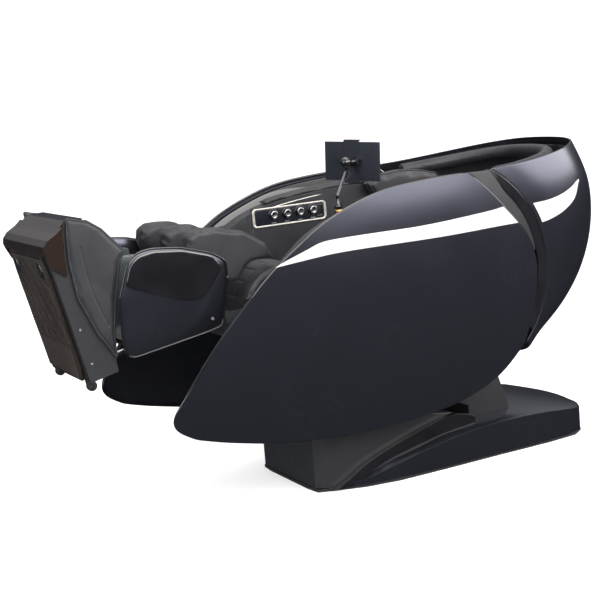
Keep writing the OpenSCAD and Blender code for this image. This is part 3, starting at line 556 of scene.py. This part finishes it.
class Pad:
    """A soft CAD solid that is puffed up by a cloth simulation and then sewn.

    cap limits how far a point moves; grow and out, how far the pad passes its solid sideways and outwards.
    """

    def __init__(self, node, body, look="leather", voxel=0.006, cap=0.008, shrink=0.003, grow=0.003,
                 out=0.008, place=BODY, fill=0.7):
        self.node, self.cap, self.grow, self.out, self.place = node, cap, grow, out, place
        self.obj = piece(node + "_soft", body, look, cad_copy(node, flat=True), node)
        self.low, self.high = place.box(node)
        remesh = self.obj.modifiers.new("remesh", "REMESH")
        remesh.mode, remesh.voxel_size = "VOXEL", voxel
        self.swap(evaluated(self.obj))
        mesh = self.obj.data
        mesh.polygons.foreach_set("use_smooth", [True] * len(mesh.polygons))
        set_coords(mesh, coords(mesh) - shrink * normals(mesh))
        self.start = coords(mesh)
        self.cloth()

    def swap(self, mesh):
        self.obj.modifiers.clear()
        self.obj.data = mesh

    def cloth(self):
        m = self.obj.modifiers.new("cloth", "CLOTH")
        c = m.settings
        c.quality, c.mass = 4, 0.25
        c.use_pressure, c.uniform_pressure_force = True, 4.0
        c.tension_stiffness = c.compression_stiffness = 12
        c.shear_stiffness, c.bending_stiffness = 6, 0.6
        c.effector_weights.gravity = 0
        m.point_cache.frame_start, m.point_cache.frame_end = 1, CLOTH_FRAMES

    def settle(self, rounds=2):
        """Takes the simulated shape, with each point's movement capped."""
        self.swap(evaluated(self.obj))
        mesh = self.obj.data
        move = coords(mesh) - self.start
        far = np.linalg.norm(move, axis=1)[:, None]
        points = self.start + move * np.minimum(1, self.cap / np.maximum(far, 1e-9))
        points = relax(mesh, points, rounds)
        p = self.place.local(points)
        top = np.array([self.grow, self.grow, self.out])
        p = np.clip(p, self.low - self.grow, self.high + top)
        points = self.place.o + p @ np.stack([X, self.place.y, self.place.z])
        set_coords(mesh, points)
        fine = self.obj.modifiers.new("fine", "SUBSURF")
        fine.levels = 1
        self.swap(evaluated(self.obj))
        self.tree = None

    def drape(self, points, direction):
        """The points, dropped along a direction on to the pad."""
        if self.tree is None:
            mesh = self.obj.data
            faces = [p.vertices[:] for p in mesh.polygons]
            self.tree = BVHTree.FromPolygons([v.co for v in mesh.vertices], faces)
        found = []
        for i, p in enumerate(points):
            d = direction[i] if np.ndim(direction) > 1 else direction
            hit = self.tree.ray_cast(Vector(p), Vector(d), 0.6)
            if hit[0] is not None:
                found.append(np.array([*hit[0], *hit[1]]))
        return np.array(found)

    def sew(self, lines, depth=0.0035, width=0.005):
        """Presses channels along draped lines, and stitches along them."""
        lines = [x for x in lines if len(x) > 3]
        if not lines:
            return
        dense = [curve(x, len(x) * 6) for x in lines]
        tree = KDTree(sum(len(x) for x in dense))
        i = 0
        for x in dense:
            for p in x:
                tree.insert(p[:3], i)
                i += 1
        tree.balance()
        mesh = self.obj.data
        points, out = coords(mesh), normals(mesh)
        away = np.array([tree.find(p)[2] for p in points])
        set_coords(mesh, points - (depth * np.exp(-(away / width) ** 2))[:, None] * out)
        stitches(self.obj.name + "_thread", self.obj["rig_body"], dense, "thread", depth)

    def pipe(self, name, path, radius):
        """Leather piping along a closed path, laid on the pad's own surface."""
        if self.tree is None:
            self.drape([], X)
        near = []
        for p in path:
            hit = self.tree.find_nearest(Vector(p))
            near.append(np.array(hit[0]) + 0.3 * radius * np.array(hit[1]))
        near = np.array(near + near[:1])
        line = curve(near, len(near) * 3)
        piece(name, self.obj["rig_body"], "leather", tube(line, radius, 8))


def stitches(name, body, lines, look, depth, pitch=0.0085, length=0.0055, radius=0.0006):
    """Short threads along lines of points with normals, all in one piece."""
    bm = bmesh.new()
    for line in lines:
        step = np.linalg.norm(np.diff(line[:, :3], axis=0), axis=1)
        s = np.concatenate([[0], np.cumsum(step)])
        for t in np.arange(pitch, s[-1] - pitch, pitch):
            a, b = (np.array([np.interp(u, s, line[:, k]) for k in range(6)]) for u in (t, t + length))
            lift = (0.25 * radius - depth) * a[3:] / max(np.linalg.norm(a[3:]), 1e-9)
            way = b[:3] - a[:3]
            size = np.linalg.norm(way)
            if size < 1e-6:
                continue
            side = np.cross(way / size, a[3:])
            n = a[3:] / max(np.linalg.norm(a[3:]), 1e-9)
            rows = []
            for u, r in ((0, 0.3), (0.25, 1), (0.75, 1), (1, 0.3)):
                c = a[:3] + u * way + lift
                rows.append([bm.verts.new(c + radius * r * (math.cos(q) * side + math.sin(q) * n))
                             for q in np.linspace(0, 2 * math.pi, 5, endpoint=False)])
            for x, y in zip(rows, rows[1:]):
                for j in range(5):
                    bm.faces.new((x[j], x[(j + 1) % 5], y[(j + 1) % 5], y[j]))
    if len(bm.verts):
        return piece(name, body, look, bm)
    bm.free()


def outline_at(node, side, n=90, place=BODY):
    """Evenly spaced outline of an extruded node, at its highest (side 1) or lowest (side -1) X."""
    p = place.local(points_of(node))
    x = p[:, 0].max() if side > 0 else p[:, 0].min()
    q = np.unique(np.round(p[np.abs(p[:, 0] - x) < 2e-4][:, 1:], 6), axis=0)
    mid = (q.max(0) + q.min(0)) / 2
    q = q[np.argsort(np.arctan2(*(q - mid).T[::-1]))]
    ring = np.concatenate([q, q[:1]])
    s = np.concatenate([[0], np.cumsum(np.linalg.norm(np.diff(ring, axis=0), axis=1))])
    t = np.linspace(0, s[-1], n, endpoint=False)
    return x, np.stack([np.interp(t, s, ring[:, 0]), np.interp(t, s, ring[:, 1])], -1)


def softened(ring, rounds):
    for _ in range(rounds):
        ring = 0.5 * ring + 0.25 * (np.roll(ring, 1, 0) + np.roll(ring, -1, 0))
    return ring


def pads():
    seat = Pad("seat_cushion", "seat", voxel=0.008, cap=0.014, shrink=0.004, out=0.012)
    back = Pad("back_cushion", "backrest", voxel=0.008, cap=0.014, shrink=0.004, out=0.014, place=BACK)
    pillow = Pad("head_pillow", "backrest", cap=0.014, shrink=0.004, grow=0.006, out=0.010, place=BACK,
                 fill=0.8)
    shoulder = Pad("shoulder_pads", "backrest", cap=0.009, shrink=0.004, grow=0.002, out=0.006, place=BACK)
    hood = Pad("hood_lining", "backrest", voxel=0.008, cap=0.005, shrink=0.005, grow=0.001, out=0.001)
    roll = Pad("hood_pad", "backrest", voxel=0.007, cap=0.004, shrink=0.004, grow=0.002, out=0.004)
    arms = Pad("arm_pads", "seat", cap=0.008, shrink=0.002, grow=0.001, out=0.010)
    knees = Pad("knee_pads", "legrest", cap=0.010, shrink=0.003, grow=0.002, out=0.008, place=LEG)
    calves = Pad("calf_pads", "legrest", "lining", cap=0.005, shrink=0.004, grow=0.001, out=0.004, place=LEG)
    feet = Pad("foot_lining", "footrest", "lining", cap=0.005, shrink=0.004, grow=0.001, out=0.002, place=LEG)
    fins = Pad("side_fins", "footrest", voxel=0.0045, cap=0.006, shrink=0.002, grow=0.005, out=0.004,
               place=LEG)
    every = [seat, back, pillow, shoulder, hood, roll, arms, knees, calves, feet, fins]
    for f in range(1, CLOTH_FRAMES + 1):
        bpy.context.scene.frame_set(f)
    for pad in every:
        pad.settle()
    bpy.context.scene.frame_set(1)
    sew_seat(seat)
    sew_back(back)
    sew_head(pillow, hood)
    sew_sides(shoulder, arms)
    sew_legs(knees, calves, fins)


def radial_line(pad, x, centre, angles, reach=0.3):
    start = [np.array([x, centre[1] + reach * math.cos(a), centre[2] + reach * math.sin(a)]) for a in angles]
    way = [np.array([0, -math.cos(a), -math.sin(a)]) for a in angles]
    return pad.drape(start, np.array(way))


def sew_seat(seat):
    hinge = JOINTS["leg_lift"]["pos_m"]
    lo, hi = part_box("seat_cushion")
    half = 0.72 * min(hi.x, abs(lo.x))
    bend = np.radians(np.linspace(78, 195, 26))
    lines = [radial_line(seat, s * half, hinge, bend) for s in (-1, 1)]
    for a in np.radians([88, 112, 136, 160]):
        xs = np.linspace(-half, half, 24)
        lines.append(np.concatenate([radial_line(seat, x, hinge, [a]) for x in xs]))
    seat.sew(lines)


def across_lines(pad, place, ys, half, height, n=26):
    down = -place.z
    return [pad.drape([place.at(x, y, height) for x in np.linspace(-half, half, n)], down) for y in ys]


def along_lines(pad, place, xs, y0, y1, height, n=34):
    return [pad.drape([place.at(x, y, height) for y in np.linspace(y0, y1, n)], -place.z) for x in xs]


def sew_back(back):
    lo, hi = BACK.box("back_cushion")
    half, top = 0.74 * hi[0], hi[2] + 0.1
    y0, y1 = 0.25 * lo[1], 0.93 * hi[1]
    lines = along_lines(back, BACK, (-half, half), y0, y1, top)
    lines += across_lines(back, BACK, np.linspace(y0 + 0.06, y1 - 0.1, 6), half, top)
    back.sew(lines)


def sew_head(pillow, hood):
    lo, hi = BACK.box("head_pillow")
    mid = (lo[1] + hi[1]) / 2
    half, top = 0.62 * hi[0], hi[2] + 0.1
    lines = along_lines(pillow, BACK, (-half, half), lo[1] + 0.01, hi[1] - 0.01, top, 20)
    lines += across_lines(pillow, BACK, (mid,), half, top)
    pillow.sew(lines, 0.003, 0.005)
    low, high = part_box("hood_lining")
    eye = Vector((0, (low.y + high.y) / 2 - 0.12, (low.z + high.z) / 2))
    lines = []
    for turn in np.radians(np.linspace(20, 160, 9)):
        start = [(0, eye.y, z) for z in np.linspace(low.z + 0.02, high.z - 0.015, 30)]
        lines.append(hood.drape(start, (math.cos(turn), math.sin(turn), 0)))
    hood.sew(lines, 0.003, 0.006)


def sew_sides(shoulder, arms):
    apart = 0.045
    for s, tag in SIDES:
        x, ring = outline_at("shoulder_pads", s, place=BACK)
        for inner in (1, 0):
            path = [BACK.at(x - s * inner * apart, y, z) for y, z in softened(ring, 3)]
            shoulder.pipe(f"shoulder_piping_{tag}_{inner}", path, 0.0024)
    lo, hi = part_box("arm_pads")
    ys = np.linspace(lo.y + 0.01, hi.y - 0.01, 40)
    lines = [arms.drape([(s * (hi.x - 0.012), y, hi.z + 0.1) for y in ys], (0, 0, -1)) for s in (-1, 1)]
    arms.sew(lines, 0.0015, 0.003)


def sew_legs(knees, calves, fins):
    for pad, node, share, apart, low, high in ((knees, "knee_pads", 0.85, 0.012, 0.03, 0.02),
                                               (calves, "calf_pads", 0.93, 0.008, 0.09, 0.03)):
        lo, hi = LEG.box(node)
        for x in (-hi[0] * share, 0.0, hi[0] * share):
            pair = (x - apart, x + apart)
            pad.sew(along_lines(pad, LEG, pair, lo[1] + low, hi[1] - high, hi[2] + 0.1, 24), 0.0018, 0.004)
    lo, hi = LEG.box("side_fins")
    for s, tag in SIDES:
        x, ring = outline_at("side_fins", s, place=LEG)
        fins.pipe(f"fin_piping_{tag}", [LEG.at(x, y, z) for y, z in softened(ring, 4)], 0.0026)
        mid = ring.mean(0)
        seam = [mid + 0.55 * (p - mid) for p in (ring[np.argmin(ring[:, 1])], ring[np.argmax(ring[:, 1])])]
        bow = np.array([0.012, 0])
        ts = np.linspace(0, 1, 30)
        path = [seam[0] + t * (seam[1] - seam[0]) + math.sin(math.pi * t) * bow for t in ts]
        line = fins.drape([LEG.at(x + s * 0.1, *p) for p in path], (-s, 0, 0))
        fins.sew([line], 0.0016, 0.003)


# ---------------------------------------------------------------- leg and foot covers

def crowned(ring, x_in, x_edge, x_top, side, place, steps=7):
    """bmesh of a plate with the outline ring: flat inside at x_in, rising from x_edge at its rim to x_top."""
    mid = (ring.max(0) + ring.min(0)) / 2
    rows = [[place.at(side * x_in, *(mid + 0.985 * (p - mid))) for p in ring],
            [place.at(side * (x_edge - 0.003), *p) for p in ring],
            [place.at(side * x_edge, *(mid + 0.992 * (p - mid))) for p in ring]]
    for i in range(1, steps):
        s = 1 - i / steps
        rise = x_edge + (x_top - x_edge) * (1 - s ** 2.4) ** 0.7
        rows.append([place.at(side * rise, *(mid + 0.985 * s * (p - mid))) for p in ring])
    bm, made = from_grid(rows, closed=True)
    bm.faces.new(made[0][::-1])
    tip = bm.verts.new(place.at(side * x_top, *mid))
    last = made[-1]
    for j in range(len(last)):
        bm.faces.new((last[j], last[(j + 1) % len(last)], tip))
    bmesh.ops.recalc_face_normals(bm, faces=bm.faces)
    return bm


def calf_covers():
    for s, tag in SIDES:
        node = f"calf_panel_{tag}"
        lo, hi = LEG.box(node)
        x_in, x_out = (lo[0], hi[0]) if s > 0 else (-hi[0], -lo[0])
        x, ring = outline_at(node, s, 160, LEG)
        ring = softened(ring, 5)
        plain = crowned(ring, x_in, x_out - 0.008, x_out, s, LEG)
        subdivide(piece(node + "_cover", "legrest", "shell", plain, node))
        edge = np.array([LEG.at(s * (x_out - 0.0075), *p) for p in np.concatenate([ring, ring[:1]])])
        piece(f"calf_piping_{tag}", "legrest", "gloss_black", tube(edge, 0.003, 8))
        x, flap = outline_at("calf_flaps", s, 140, LEG)
        flap = softened(flap, 5)
        raised = crowned(flap, x_out - 0.004, abs(x) - 0.003, abs(x), s, LEG)
        subdivide(piece(f"calf_flap_{tag}", "legrest", "gloss_black", raised, "calf_flaps"))
        low = ring[np.argmin(ring[:, 0] + ring[:, 1])]
        mid = ring.mean(0)
        spot = LEG.at(s * (x_out - 0.004), *(mid + 0.8 * (low - mid)))
        screw(f"calf_bolt_{tag}", "legrest", spot, s * X, 0.005)


def screw(name, body, place, axis, r=0.004):
    profile = [(-r, r * 0.8), (0, r), (r * 0.25, r * 0.96), (r * 0.42, r * 0.72), (r * 0.44, r * 0.42),
               (r * 0.05, r * 0.38), (r * 0.04, 0.0)]
    piece(name, body, "steel", lathe(place, axis, profile, 24))


def clipped(poly, outline):
    """A convex polygon cut by a convex outline that runs counter-clockwise."""
    for a, b in zip(outline, np.roll(outline, -1, 0)):
        if len(poly) == 0:
            return poly
        edge = b - a
        inside = [edge[0] * (p[1] - a[1]) - edge[1] * (p[0] - a[0]) for p in poly]
        out = []
        for i, p in enumerate(poly):
            j = (i + 1) % len(poly)
            if inside[i] >= 0:
                out.append(p)
            if (inside[i] >= 0) != (inside[j] >= 0):
                out.append(p + (poly[j] - p) * inside[i] / (inside[i] - inside[j]))
        poly = out
    return poly


def raised_tile(bm, poly, face, seam=0.0012, chamfer=0.0016):
    """A flat tile with chamfered edges, raised from the sole's face."""
    if len(poly) < 3:
        return
    mid = np.mean(poly, 0)
    rows = []
    for out, rise in ((-seam, -0.0005), (-seam, 0.0016), (-seam - chamfer, 0.0026)):
        ring = [mid + (p - mid) * max(0.0, 1 + out / max(np.linalg.norm(p - mid), 1e-6)) for p in poly]
        rows.append([bm.verts.new(LEG.at(p[0], face + rise, p[1])) for p in ring])
    for a, b in zip(rows, rows[1:]):
        for j in range(len(a)):
            bm.faces.new((a[j], a[(j + 1) % len(a)], b[(j + 1) % len(a)], b[j]))
    bm.faces.new(rows[-1])


def area_of(poly):
    return 0.5 * abs(sum(a[0] * b[1] - b[0] * a[1] for a, b in zip(poly, poly[1:] + poly[:1])))


def sole():
    """Sole plate with raised hexagonal tiles, a plain lower field and two recesses."""
    crisp_copy("sole_plate", "footrest", "sole", 0.002)
    lo, hi = LEG.box("sole_plate")
    face, half, low, high = hi[1], hi[0], lo[2], hi[2]
    tall = high - low
    step, shoulder, top = low + 0.30 * tall, low + 0.83 * tall, high - 0.010
    field = np.array([(-half + 0.012, step), (half - 0.012, step), (half - 0.008, shoulder),
                      (half - 0.018, top), (-half + 0.018, top), (-half + 0.008, shoulder)])
    corners = ((-1, -0.5), (0, -1), (1, -0.5), (1, 0.5), (0, 1), (-1, 0.5))
    w, h, least = half / 2.5, tall / 5.6, 1.2e-4
    bm = bmesh.new()
    for i in range(-4, 5):
        for j in range(-1, 9):
            c = np.array([(i + 0.5 * (j % 2)) * w, step + j * h * 0.76])
            poly = clipped([c + np.array([w / 2 * x, h / 2 * y]) for x, y in corners], field)
            if len(poly) > 2 and area_of(poly) > least:
                raised_tile(bm, poly, face)
    plain = ((-half + 0.034, low + 0.012), (half - 0.034, low + 0.012),
             (half - 0.014, low + 0.29 * tall), (-half + 0.014, low + 0.29 * tall))
    raised_tile(bm, [np.array(p) for p in plain], face)
    bmesh.ops.recalc_face_normals(bm, faces=bm.faces)
    piece("sole_tiles", "footrest", "sole", bm, smooth=False)
    for s, tag in SIDES:
        sole_recess(f"sole_recess_{tag}", s * (half - 0.045), high - 0.045, face)


def sole_recess(name, x, z, face):
    """A drop-shaped cup with a raised rim."""
    drop = [np.array([x + 0.020 * math.cos(a) * (1 - 0.4 * math.sin(a)), z + 0.028 * math.sin(a)])
            for a in np.linspace(0, 2 * math.pi, 40, endpoint=False)]
    mid = np.mean(drop, 0)
    rows = []
    for share, rise in ((1.0, 0.002), (1.0, 0.0042), (0.9, 0.0046), (0.8, 0.0032), (0.6, 0.0028),
                        (0.02, 0.0027)):
        ring = [mid + share * (p - mid) for p in drop]
        rows.append([LEG.at(p[0], face + rise, p[1]) for p in ring])
    cup, made = from_grid(rows, closed=True)
    bmesh.ops.recalc_face_normals(cup, faces=cup.faces)
    piece(name, "footrest", "gloss_black", cup)


def foot_details():
    lo, hi = LEG.box("foot_box")
    for s, tag in SIDES:
        for k, z in ((1, 0.19), (2, 0.08)):
            screw(f"foot_screw_{tag}_{k}", "footrest", LEG.at(s * hi[0], hi[1] - 0.022, lo[2] + z), s * X)
        low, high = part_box(f"caster_{tag}")
        hub = (low + high) / 2
        wheel = (high.z - low.z) / 2
        for side in (1, -1):
            edge = high.x if side > 0 else low.x
            profile = [(-0.003, wheel * 0.62), (0.0006, wheel * 0.62), (0.0012, wheel * 0.5),
                       (0.0006, wheel * 0.34), (0.0016, wheel * 0.3), (0.0018, 0.0)]
            piece(f"caster_hub_{tag}_{'out' if side > 0 else 'in'}", f"caster_{tag}", "knob_metal",
                  lathe((edge, hub.y, hub.z), side * X, profile, 28))


# ---------------------------------------------------------------- controls

def rounded(half_y, half_z, r, n=8):
    ring = []
    for cy, cz, start in ((1, 1, 0), (-1, 1, 90), (-1, -1, 180), (1, -1, 270)):
        for a in np.radians(np.linspace(start, start + 90, n)):
            ring.append((cy * (half_y - r) + r * math.cos(a), cz * (half_z - r) + r * math.sin(a)))
    return ring


def plate(name, body, look, x, centre, ring, inner, rise, drop=0.001):
    """A raised frame on a face that looks along +X, or a solid plate where inner is None."""
    y, z = centre

    def at(points, d):
        return [(x + d, y + q[0], z + q[1]) for q in points]

    small = [[a * (1 - 0.0012 / max(abs(a), 0.01)) for a in q] for q in ring]
    rows = [at(ring, -drop), at(ring, rise * 0.7), at(small, rise)]
    if inner:
        rows += [at(inner, rise), at(inner, -drop)]
    bm, made = from_grid(rows, closed=True)
    if not inner:
        bm.faces.new(made[-1])
    bmesh.ops.recalc_face_normals(bm, faces=bm.faces)
    piece(name, body, look, bm)


def controls():
    lo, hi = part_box("control_panel")
    x, centre = hi.x, ((lo.y + hi.y) / 2, (lo.z + hi.z) / 2)
    hy, hz = (hi.y - lo.y) / 2, (hi.z - lo.z) / 2
    plate("panel_frame", "seat", "pale", x, centre, rounded(hy - 0.001, hz - 0.001, 0.014),
          rounded(hy - 0.010, hz - 0.007, 0.009), 0.003)
    plate("panel_face", "seat", "tablet", x, centre, rounded(hy - 0.011, hz - 0.008, 0.008), None, 0.0008)
    plate("panel_recess", "seat", "gloss_black", x, (hi.y - 0.030, centre[1]),
          rounded(0.014, hz - 0.014, 0.006), rounded(0.010, hz - 0.018, 0.004), 0.0022)
    for i in range(1, 5):
        knob(i, x, lo)


def knob(i, x, panel_low):
    node = f"knob_{i}"
    lo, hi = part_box(node)
    y, z, r = (lo.y + hi.y) / 2, (lo.z + hi.z) / 2, (hi.z - lo.z) / 2
    sides = 72
    turns = [2 * math.pi * j / sides for j in range(sides)]

    def ring(at_x, share, ribbed):
        sizes = [r * (share + ribbed * (0.02 if j % 2 else -0.01)) for j in range(sides)]
        return [(at_x, y + size * math.cos(a), z + size * math.sin(a)) for size, a in zip(sizes, turns)]

    rows = [ring(lo.x + 0.001, 0.3, 0)]
    for out, share, ribbed in ((0.0030, 0.90, 0), (0.0035, 0.97, 1), (0.011, 0.93, 1), (0.0128, 0.88, 0),
                               (0.0138, 0.78, 0), (0.0134, 0.70, 0), (0.0130, 0.1, 0)):
        rows.append(ring(x + out, share, ribbed))
    bm, made = from_grid(rows, closed=True)
    bm.faces.new(made[-1])
    bmesh.ops.recalc_face_normals(bm, faces=bm.faces)
    piece(f"knob_grip_{i}", node, "knob_metal", bm, node)
    bm = bmesh.new()
    bmesh.ops.create_cube(bm, size=1)
    bmesh.ops.scale(bm, vec=(0.0012, 0.0016, r * 0.5), verts=bm.verts)
    bmesh.ops.translate(bm, vec=(x + 0.0136, y, z + r * 0.5), verts=bm.verts)
    bmesh.ops.bevel(bm, geom=bm.edges, offset=0.0003, segments=2, affect="EDGES")
    piece(f"knob_pointer_{i}", node, "gloss_black", bm)
    face = x + 0.0008
    outer, inner = (rounded(r + out, r + out, r + out - 0.0001, 10) for out in (0.004, 0.001))
    plate(f"knob_collar_{i}", "seat", "gloss_black", face, (y, z), outer, inner, 0.0016)
    row = (panel_low.z + z - r) / 2 - 0.001
    for k, (dy, w) in enumerate(((-0.006, 0.0035), (0.0, 0.002), (0.006, 0.0035))):
        bar = rounded(w / 2 + 0.0006, 0.0010, 0.0006, 3)
        plate(f"knob_mark_{i}_{k}", "seat", "mark", face, (y + dy, row), bar, None, 0.0003, 0.0004)


def middle(values):
    return (values.max() + values.min()) / 2


def tablet_details():
    foot, ball = np.array(JOINTS["arm_swivel"]["pos_m"]), np.array(JOINTS["tablet_turn"]["pos_m"])
    profile = [(0.010, 0.0095), (0.011, 0.0125), (0.016, 0.0135), (0.022, 0.0125), (0.024, 0.0095)]
    piece("arm_ferrule", "tablet_arm", "brass", lathe(foot, (0, 0, 1), profile, 40))
    tilt = np.array(JOINTS["tablet_tilt"]["axis"], float)
    up = np.array([0, 0, 1.0]) - tilt * tilt[2]
    up /= np.linalg.norm(up)
    out = np.cross(up, tilt)
    pts = points_of("tablet")
    wide, tall = np.ptp(pts @ tilt) / 2, np.ptp(pts @ up) / 2 - 0.007
    front = pts @ out - ball @ out
    sign = 1 if abs(front.max()) >= abs(front.min()) else -1
    face = ball @ out + (front.max() if sign > 0 else front.min()) - sign * 0.005
    mid = middle(pts @ tilt) * tilt + middle(pts @ up) * up + face * out
    ring = rounded(wide - 0.006, tall - 0.006, 0.006)
    rows = [[mid + a * tilt + b * up + sign * rise * out for a, b in ring] for rise in (-0.0002, 0.0008)]
    bm, made = from_grid(rows, closed=True)
    bm.faces.new(made[-1])
    bmesh.ops.recalc_face_normals(bm, faces=bm.faces)
    piece("tablet_screen", "tablet", "glass", bm)


def lead():
    """The lead beside the arm, from its collar to the ball, along the route of its CAD solid."""
    foot, ball = np.array(JOINTS["arm_swivel"]["pos_m"]), np.array(JOINTS["tablet_turn"]["pos_m"])
    low = np.array([(17, 0, 30), (30, -2, 46), (36, -2, 72), (26, 8, 104)]) / 1000
    high = np.array([(26, -6, -40), (17, -4, -26)]) / 1000
    line = curve(np.concatenate([foot + low, ball + high]), 60)
    thick = 0.0036
    obj = piece("tablet_lead_wire", "tablet_arm", "rubber", tube(line, thick / 2, 12), "tablet_lead")


# ---------------------------------------------------------------- trims

def sharp_loops(node, angle=40):
    """Closed loops of the welded mesh's sharp edges, longest first."""
    bm = cad_copy(node)
    bm.normal_update()
    sharp = [e for e in bm.edges if len(e.link_faces) == 2 and e.calc_face_angle(0) > math.radians(angle)]
    around = {}
    for e in sharp:
        for v in e.verts:
            around.setdefault(v.index, []).append(e.other_vert(v))
    bm.verts.ensure_lookup_table()
    seen, loops = set(), []
    for start in around:
        if start in seen:
            continue
        path, v = [], bm.verts[start]
        while v is not None and v.index not in seen:
            seen.add(v.index)
            path.append(np.array(v.co))
            v = next((w for w in around[v.index] if w.index not in seen), None)
        if len(path) > 8:
            loops.append(np.array(path))
    bm.free()
    return sorted(loops, key=len, reverse=True)


def trims():
    for s, tag in SIDES:
        loops = sharp_loops(f"side_shell_{tag}")
        outer = max(loops[:2], key=lambda p: s * p[:, 0].mean())
        ring = softened(np.repeat(outer, 2, axis=0), 3)
        ring = ring - s * X * 0.0045
        piece(f"shell_bead_{tag}", "seat", "gloss_black", tube(np.concatenate([ring, ring[:1]]), 0.0042, 8))
    low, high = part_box("console_right")
    x, ring = outline_at("console_right", 1, 300)
    crest = ring[(ring[:, 1] > (low.z + high.z) / 2) & (ring[:, 0] > low.y + 0.1)]
    crest = crest[np.argsort(crest[:, 0])]
    n = 40
    ys = np.linspace(low.y + 0.19, low.y + 0.48, n)
    top = np.stack([np.full(n, x + 0.0005), ys, np.interp(ys, crest[:, 0], crest[:, 1]) - 0.014], -1)
    radii = 0.0022 * np.clip(np.minimum(np.arange(n), np.arange(n)[::-1]) / 3, 0.25, 1)
    piece("console_light_line", "seat", "pale", tube(softened_line(top), radii, 8))


def softened_line(p, rounds=6):
    for _ in range(rounds):
        p[1:-1] = 0.5 * p[1:-1] + 0.25 * (p[2:] + p[:-2])
    return p


# ---------------------------------------------------------------- studio

def camera():
    az, el, roll = math.radians(62.8), math.radians(9.45), math.radians(-5.05)
    back = Vector((math.sin(az) * math.cos(el), -math.cos(az) * math.cos(el), math.sin(el)))
    right = Vector((math.cos(az), math.sin(az), 0))
    up = back.cross(right)
    across = right * math.cos(roll) + up * math.sin(roll)
    upward = up * math.cos(roll) - right * math.sin(roll)
    cam = bpy.data.objects.new("camera", bpy.data.cameras.new("camera"))
    cam.data.lens, cam.data.sensor_width = 79.2, 36
    cam.data.clip_start, cam.data.clip_end = 0.05, 200
    turn = Matrix((across, upward, back)).transposed().to_4x4()
    cam.matrix_world = Matrix.Translation((3.9339, -2.1204, 1.3485)) @ turn
    bpy.context.scene.collection.objects.link(cam)
    bpy.context.scene.camera = cam


def softbox(name, place, target, size, power, tone):
    data = bpy.data.lights.new(name, "AREA")
    data.shape, data.size, data.size_y, data.energy, data.color = "RECTANGLE", size[0], size[1], power, tone
    obj = bpy.data.objects.new(name, data)
    obj.location = place
    obj.visible_camera = False
    obj.rotation_mode = "QUATERNION"
    obj.rotation_quaternion = (Vector(target) - Vector(place)).to_track_quat("-Z", "Y")
    bpy.context.scene.collection.objects.link(obj)


def sky(world):
    """A studio that is dark near the floor and bright overhead."""
    tree = world.node_tree
    where = tree.nodes.new("ShaderNodeTexCoord").outputs["Generated"]
    split = tree.nodes.new("ShaderNodeSeparateXYZ")
    tree.links.new(where, split.inputs[0])
    ramp = tree.nodes.new("ShaderNodeValToRGB")
    tree.links.new(split.outputs["Z"], ramp.inputs[0])
    stops = ((0.0, (0.02, 0.022, 0.03)), (0.12, (0.05, 0.055, 0.07)), (0.4, (0.30, 0.30, 0.31)),
             (0.85, (0.9, 0.88, 0.86)))
    while len(ramp.color_ramp.elements) < len(stops):
        ramp.color_ramp.elements.new(0.5)
    for element, (place, colour) in zip(ramp.color_ramp.elements, stops):
        element.position, element.color = place, (*colour, 1)
    tree.links.new(ramp.outputs[0], tree.nodes["Background"].inputs[0])
    tree.nodes["Background"].inputs[1].default_value = 1.15


def studio():
    turns = np.linspace(0, 2 * math.pi, 64, endpoint=False)
    bowl = ((0.01, 0), (4, 0), (11, 0), (14, 0.3), (16, 1.2), (17.5, 3), (18, 6), (18, 12))
    rows = [[(r * math.cos(a), r * math.sin(a), z) for a in turns] for r, z in bowl]
    bm, made = from_grid(rows, closed=True)
    bm.faces.new(made[0])
    mesh = bpy.data.meshes.new("floor")
    bm.to_mesh(mesh)
    for poly in mesh.polygons:
        poly.use_smooth = True
    mesh.materials.append(MATERIAL["floor"])
    floor = bpy.data.objects.new("floor", mesh)
    floor.visible_glossy = False
    bpy.context.scene.collection.objects.link(floor)
    world = bpy.data.worlds.new("studio")
    bpy.context.scene.world = world
    world.use_nodes = True
    sky(world)
    softbox("near_high", (4.2, 0.4, 2.75), (0.3, 0.3, 0.9), (6.4, 2.2), 250, (1, 0.96, 0.94))
    softbox("rear_high", (1.7, 4.6, 2.7), (0.2, 0.9, 0.9), (4, 2), 130, (1, 0.96, 0.94))
    softbox("overhead", (0.2, 0.2, 4.2), (0, 0.1, 0.6), (2, 4), 60, (1, 0.97, 0.95))
    softbox("front", (1.4, -4.6, 2.3), (0, -0.6, 0.6), (1.6, 1.6), 60, (0.94, 0.96, 1))
    bpy.context.scene.view_settings.view_transform = "Standard"


def sizes():
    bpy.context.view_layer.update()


camera()
studio()
shells()
hard_parts()
pads()
calf_covers()
sole()
foot_details()
controls()
tablet_details()
lead()
trims()
sizes()
